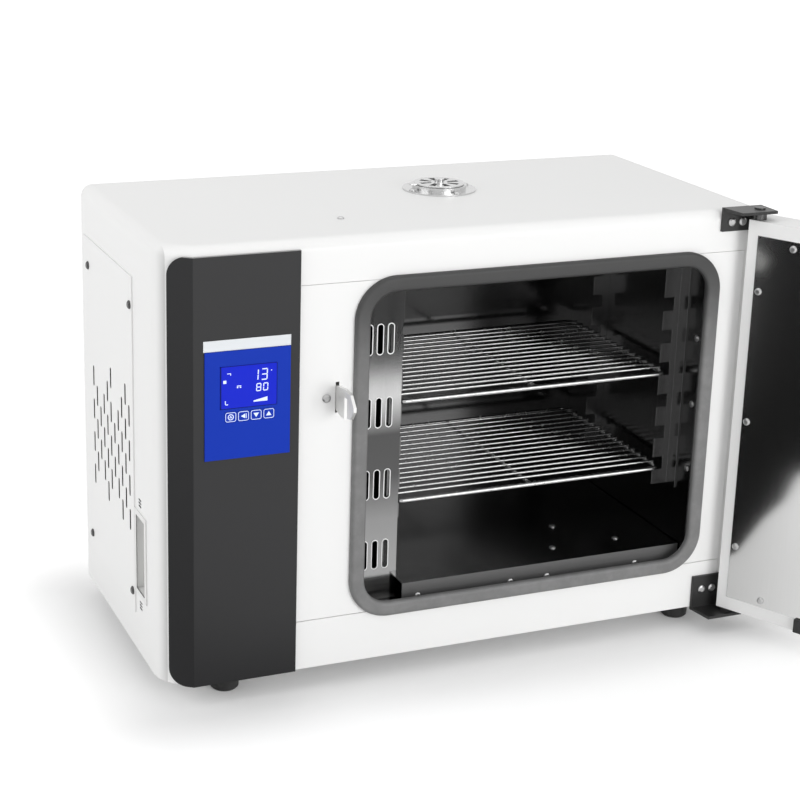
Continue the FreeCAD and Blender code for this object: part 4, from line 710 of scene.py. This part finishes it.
def past_cabinet(spot, letter, axis):
    """How far a spot on the floor lies outside the cabinet's footprint along one axis."""
    middle = (SHELL_LOW[axis] + SHELL_HIGH[axis]) / 2
    half = (SHELL_HIGH[axis] - SHELL_LOW[axis]) / 2
    return spot.maths("MAXIMUM", spot.maths("ABSOLUTE", spot.axis(letter) - middle) - half, 0.0)


def studio_floor():
    """The pale floor with its lift, which is smaller near the cabinet: a painted shadow."""
    mesh = bpy.data.meshes.new("studio_floor")
    corners = [(sx * FLOOR_HALF, sy * FLOOR_HALF, 0) for sx, sy in ((-1, -1), (1, -1), (1, 1), (-1, 1))]
    mesh.from_pydata(corners, [], [(0, 1, 2, 3)])
    made = bpy.data.objects.new("studio_floor", mesh)
    bpy.context.scene.collection.objects.link(made)
    finish = bpy.data.materials.new("pale_floor")
    finish.use_nodes = True
    tree = finish.node_tree
    tree.nodes.clear()
    seen = seen_rays(tree)
    spot = Wire(tree.nodes.new("ShaderNodeTexCoord").outputs["Object"])
    across, along = past_cabinet(spot, "X", 0), past_cabinet(spot, "Y", 1)
    away = spot.maths("SQRT", across * across + along * along)
    lift_past_painted_shadow = away.between(0.0, SHADOW_REACH) * (LIFT_NEAR - LIFT_IN_PAINTED_SHADOW)
    far_lift = away.between(FADE_START, FADE_END) * (LIFT_FAR - LIFT_NEAR)
    lift = lift_past_painted_shadow + far_lift + LIFT_IN_PAINTED_SHADOW
    sheet = seen.node("ShaderNodeBsdfDiffuse", None, {"Color": (*grey(FLOOR_TONE), 1.0)})
    white = seen.node("ShaderNodeEmission", None, {"Color": PURE_WHITE, "Strength": seen * lift})
    blend = seen.node("ShaderNodeAddShader", None, {0: sheet, 1: white})
    output = tree.nodes.new("ShaderNodeOutputMaterial")
    tree.links.new(blend.socket, output.inputs["Surface"])
    mesh.materials.append(finish)


studio_floor()


# Dark cards: two lie over the floor, and one stands at the far end of each. Only mirror-like surfaces see
# them, so the door's inner panel and the chamber mirror the dark surroundings that the photograph shows.

CARD_TONE, CARD_ROUGH, CARD_OVER_FLOOR = 0.014, 0.9, 0.0005
LEFT_EDGE = [(0.00, 0.070), (-0.05, 0.037), (-0.16, 0.008), (-0.24, -0.020), (-0.34, -0.038),
             (-0.40, -0.10), (-0.45, -0.26), (-0.52, -0.50)]


def dark_card(name, points):
    """A dark card that nothing but a mirror-like surface sees, given by its corners."""
    mesh = bpy.data.meshes.new(name)
    mesh.from_pydata(points, [], [list(range(len(points)))])
    made = bpy.data.objects.new(name, mesh)
    bpy.context.scene.collection.objects.link(made)
    made.visible_camera = made.visible_diffuse = False
    made.visible_shadow = made.visible_transmission = False
    cloth = bpy.data.materials.new(name + "_cloth")
    cloth.use_nodes = True
    shader = cloth.node_tree.nodes["Principled BSDF"]
    shader.inputs["Base Color"].default_value = (*grey(CARD_TONE), 1.0)
    shader.inputs["Roughness"].default_value = CARD_ROUGH
    shader.inputs["Specular IOR Level"].default_value = 0.0
    mesh.materials.append(cloth)


def lying(outline):
    """Corners just over the floor."""
    return [(x, y, CARD_OVER_FLOOR) for x, y in outline]


def standing(first, last, height):
    """Corners of an upright card over two spots on the floor."""
    return [(*first, 0.0), (*last, 0.0), (*last, height), (*first, height)]


dark_card("card_left", lying(LEFT_EDGE + [(-3.0, -0.9), (-3.0, 0.070)]))
dark_card("card_left_upright", standing((-2.9, -1.6), (-2.9, 0.8), 1.6))
dark_card("card_far", lying([(0.10, -0.79), (1.9, -0.79), (2.6, -3.0), (-0.4, -3.0)]))
dark_card("card_far_upright", standing((-0.4, -3.0), (2.6, -3.0), 1.0))


# Surroundings and lamps: an even white sky, a soft lamp at the left, a stronger one low in front and a weak
# one above.

world = bpy.data.worlds.new("studio")
bpy.context.scene.world = world
world.use_nodes = True
world.node_tree.nodes.clear()
sky_seen = seen_rays(world.node_tree)
strength = sky_seen.maths("MULTIPLY", sky_seen, WHITE - AMBIENT, clamp=True) + AMBIENT
background = sky_seen.node("ShaderNodeBackground", None, {"Color": PURE_WHITE, "Strength": strength})
sky_output = world.node_tree.nodes.new("ShaderNodeOutputWorld")
world.node_tree.links.new(background.socket, sky_output.inputs["Surface"])

LAMP_SIDE = 1.6


def lamp(name, place, aim, watts):
    """A square soft lamp that looks at a point."""
    light = bpy.data.lights.new(name, "AREA")
    light.shape = "SQUARE"
    light.size = LAMP_SIDE
    light.energy = watts
    made = bpy.data.objects.new(name, light)
    made.location = place
    made.rotation_euler = (Vector(aim) - Vector(place)).to_track_quat("-Z", "Y").to_euler()
    bpy.context.scene.collection.objects.link(made)


lamp("left_lamp", (-2.4, 0.1, 1.4), (-0.1, 0.2, 0.2), 16.0)
lamp("front_lamp", (0.7, -2.3, 0.55), (-0.1, 0.1, 0.1), 34.5)
lamp("top_lamp", (-0.1, 0.5, 2.4), (-0.1, 0.2, 0.4), 6.5)


# Camera: from the front left and above, as the photograph was taken, with a slight roll and shift.

FOCAL_PX, FRAME_PX, SENSOR_MM = 1866.5, 800.0, 36.0
YAW, PITCH, ROLL = math.radians(22.555), math.radians(17.144), math.radians(1.409)
EYE = (-0.8902, -1.4830, 0.8545)
SHIFT_X, SHIFT_Y = 0.05, -0.05
NEAREST, FARTHEST = 0.05, 60.0

ahead = np.array([math.sin(YAW) * math.cos(PITCH), math.cos(YAW) * math.cos(PITCH), -math.sin(PITCH)])
level = np.array([math.cos(YAW), -math.sin(YAW), 0.0])
upward = np.cross(level, ahead)
right_hand = math.cos(ROLL) * level + math.sin(ROLL) * upward
up_hand = -math.sin(ROLL) * level + math.cos(ROLL) * upward
lens = bpy.data.cameras.new("camera")
lens.lens = SENSOR_MM * FOCAL_PX / FRAME_PX
lens.sensor_width = SENSOR_MM
lens.shift_x, lens.shift_y = SHIFT_X, SHIFT_Y
lens.clip_start, lens.clip_end = NEAREST, FARTHEST
camera = bpy.data.objects.new("camera", lens)
turn = Matrix(np.column_stack([right_hand, up_hand, -ahead]).tolist()).to_4x4()
camera.matrix_world = Matrix.Translation(Vector(EYE)) @ turn
bpy.context.scene.collection.objects.link(camera)
bpy.context.scene.camera = camera
bpy.context.scene.view_settings.view_transform = "Standard"
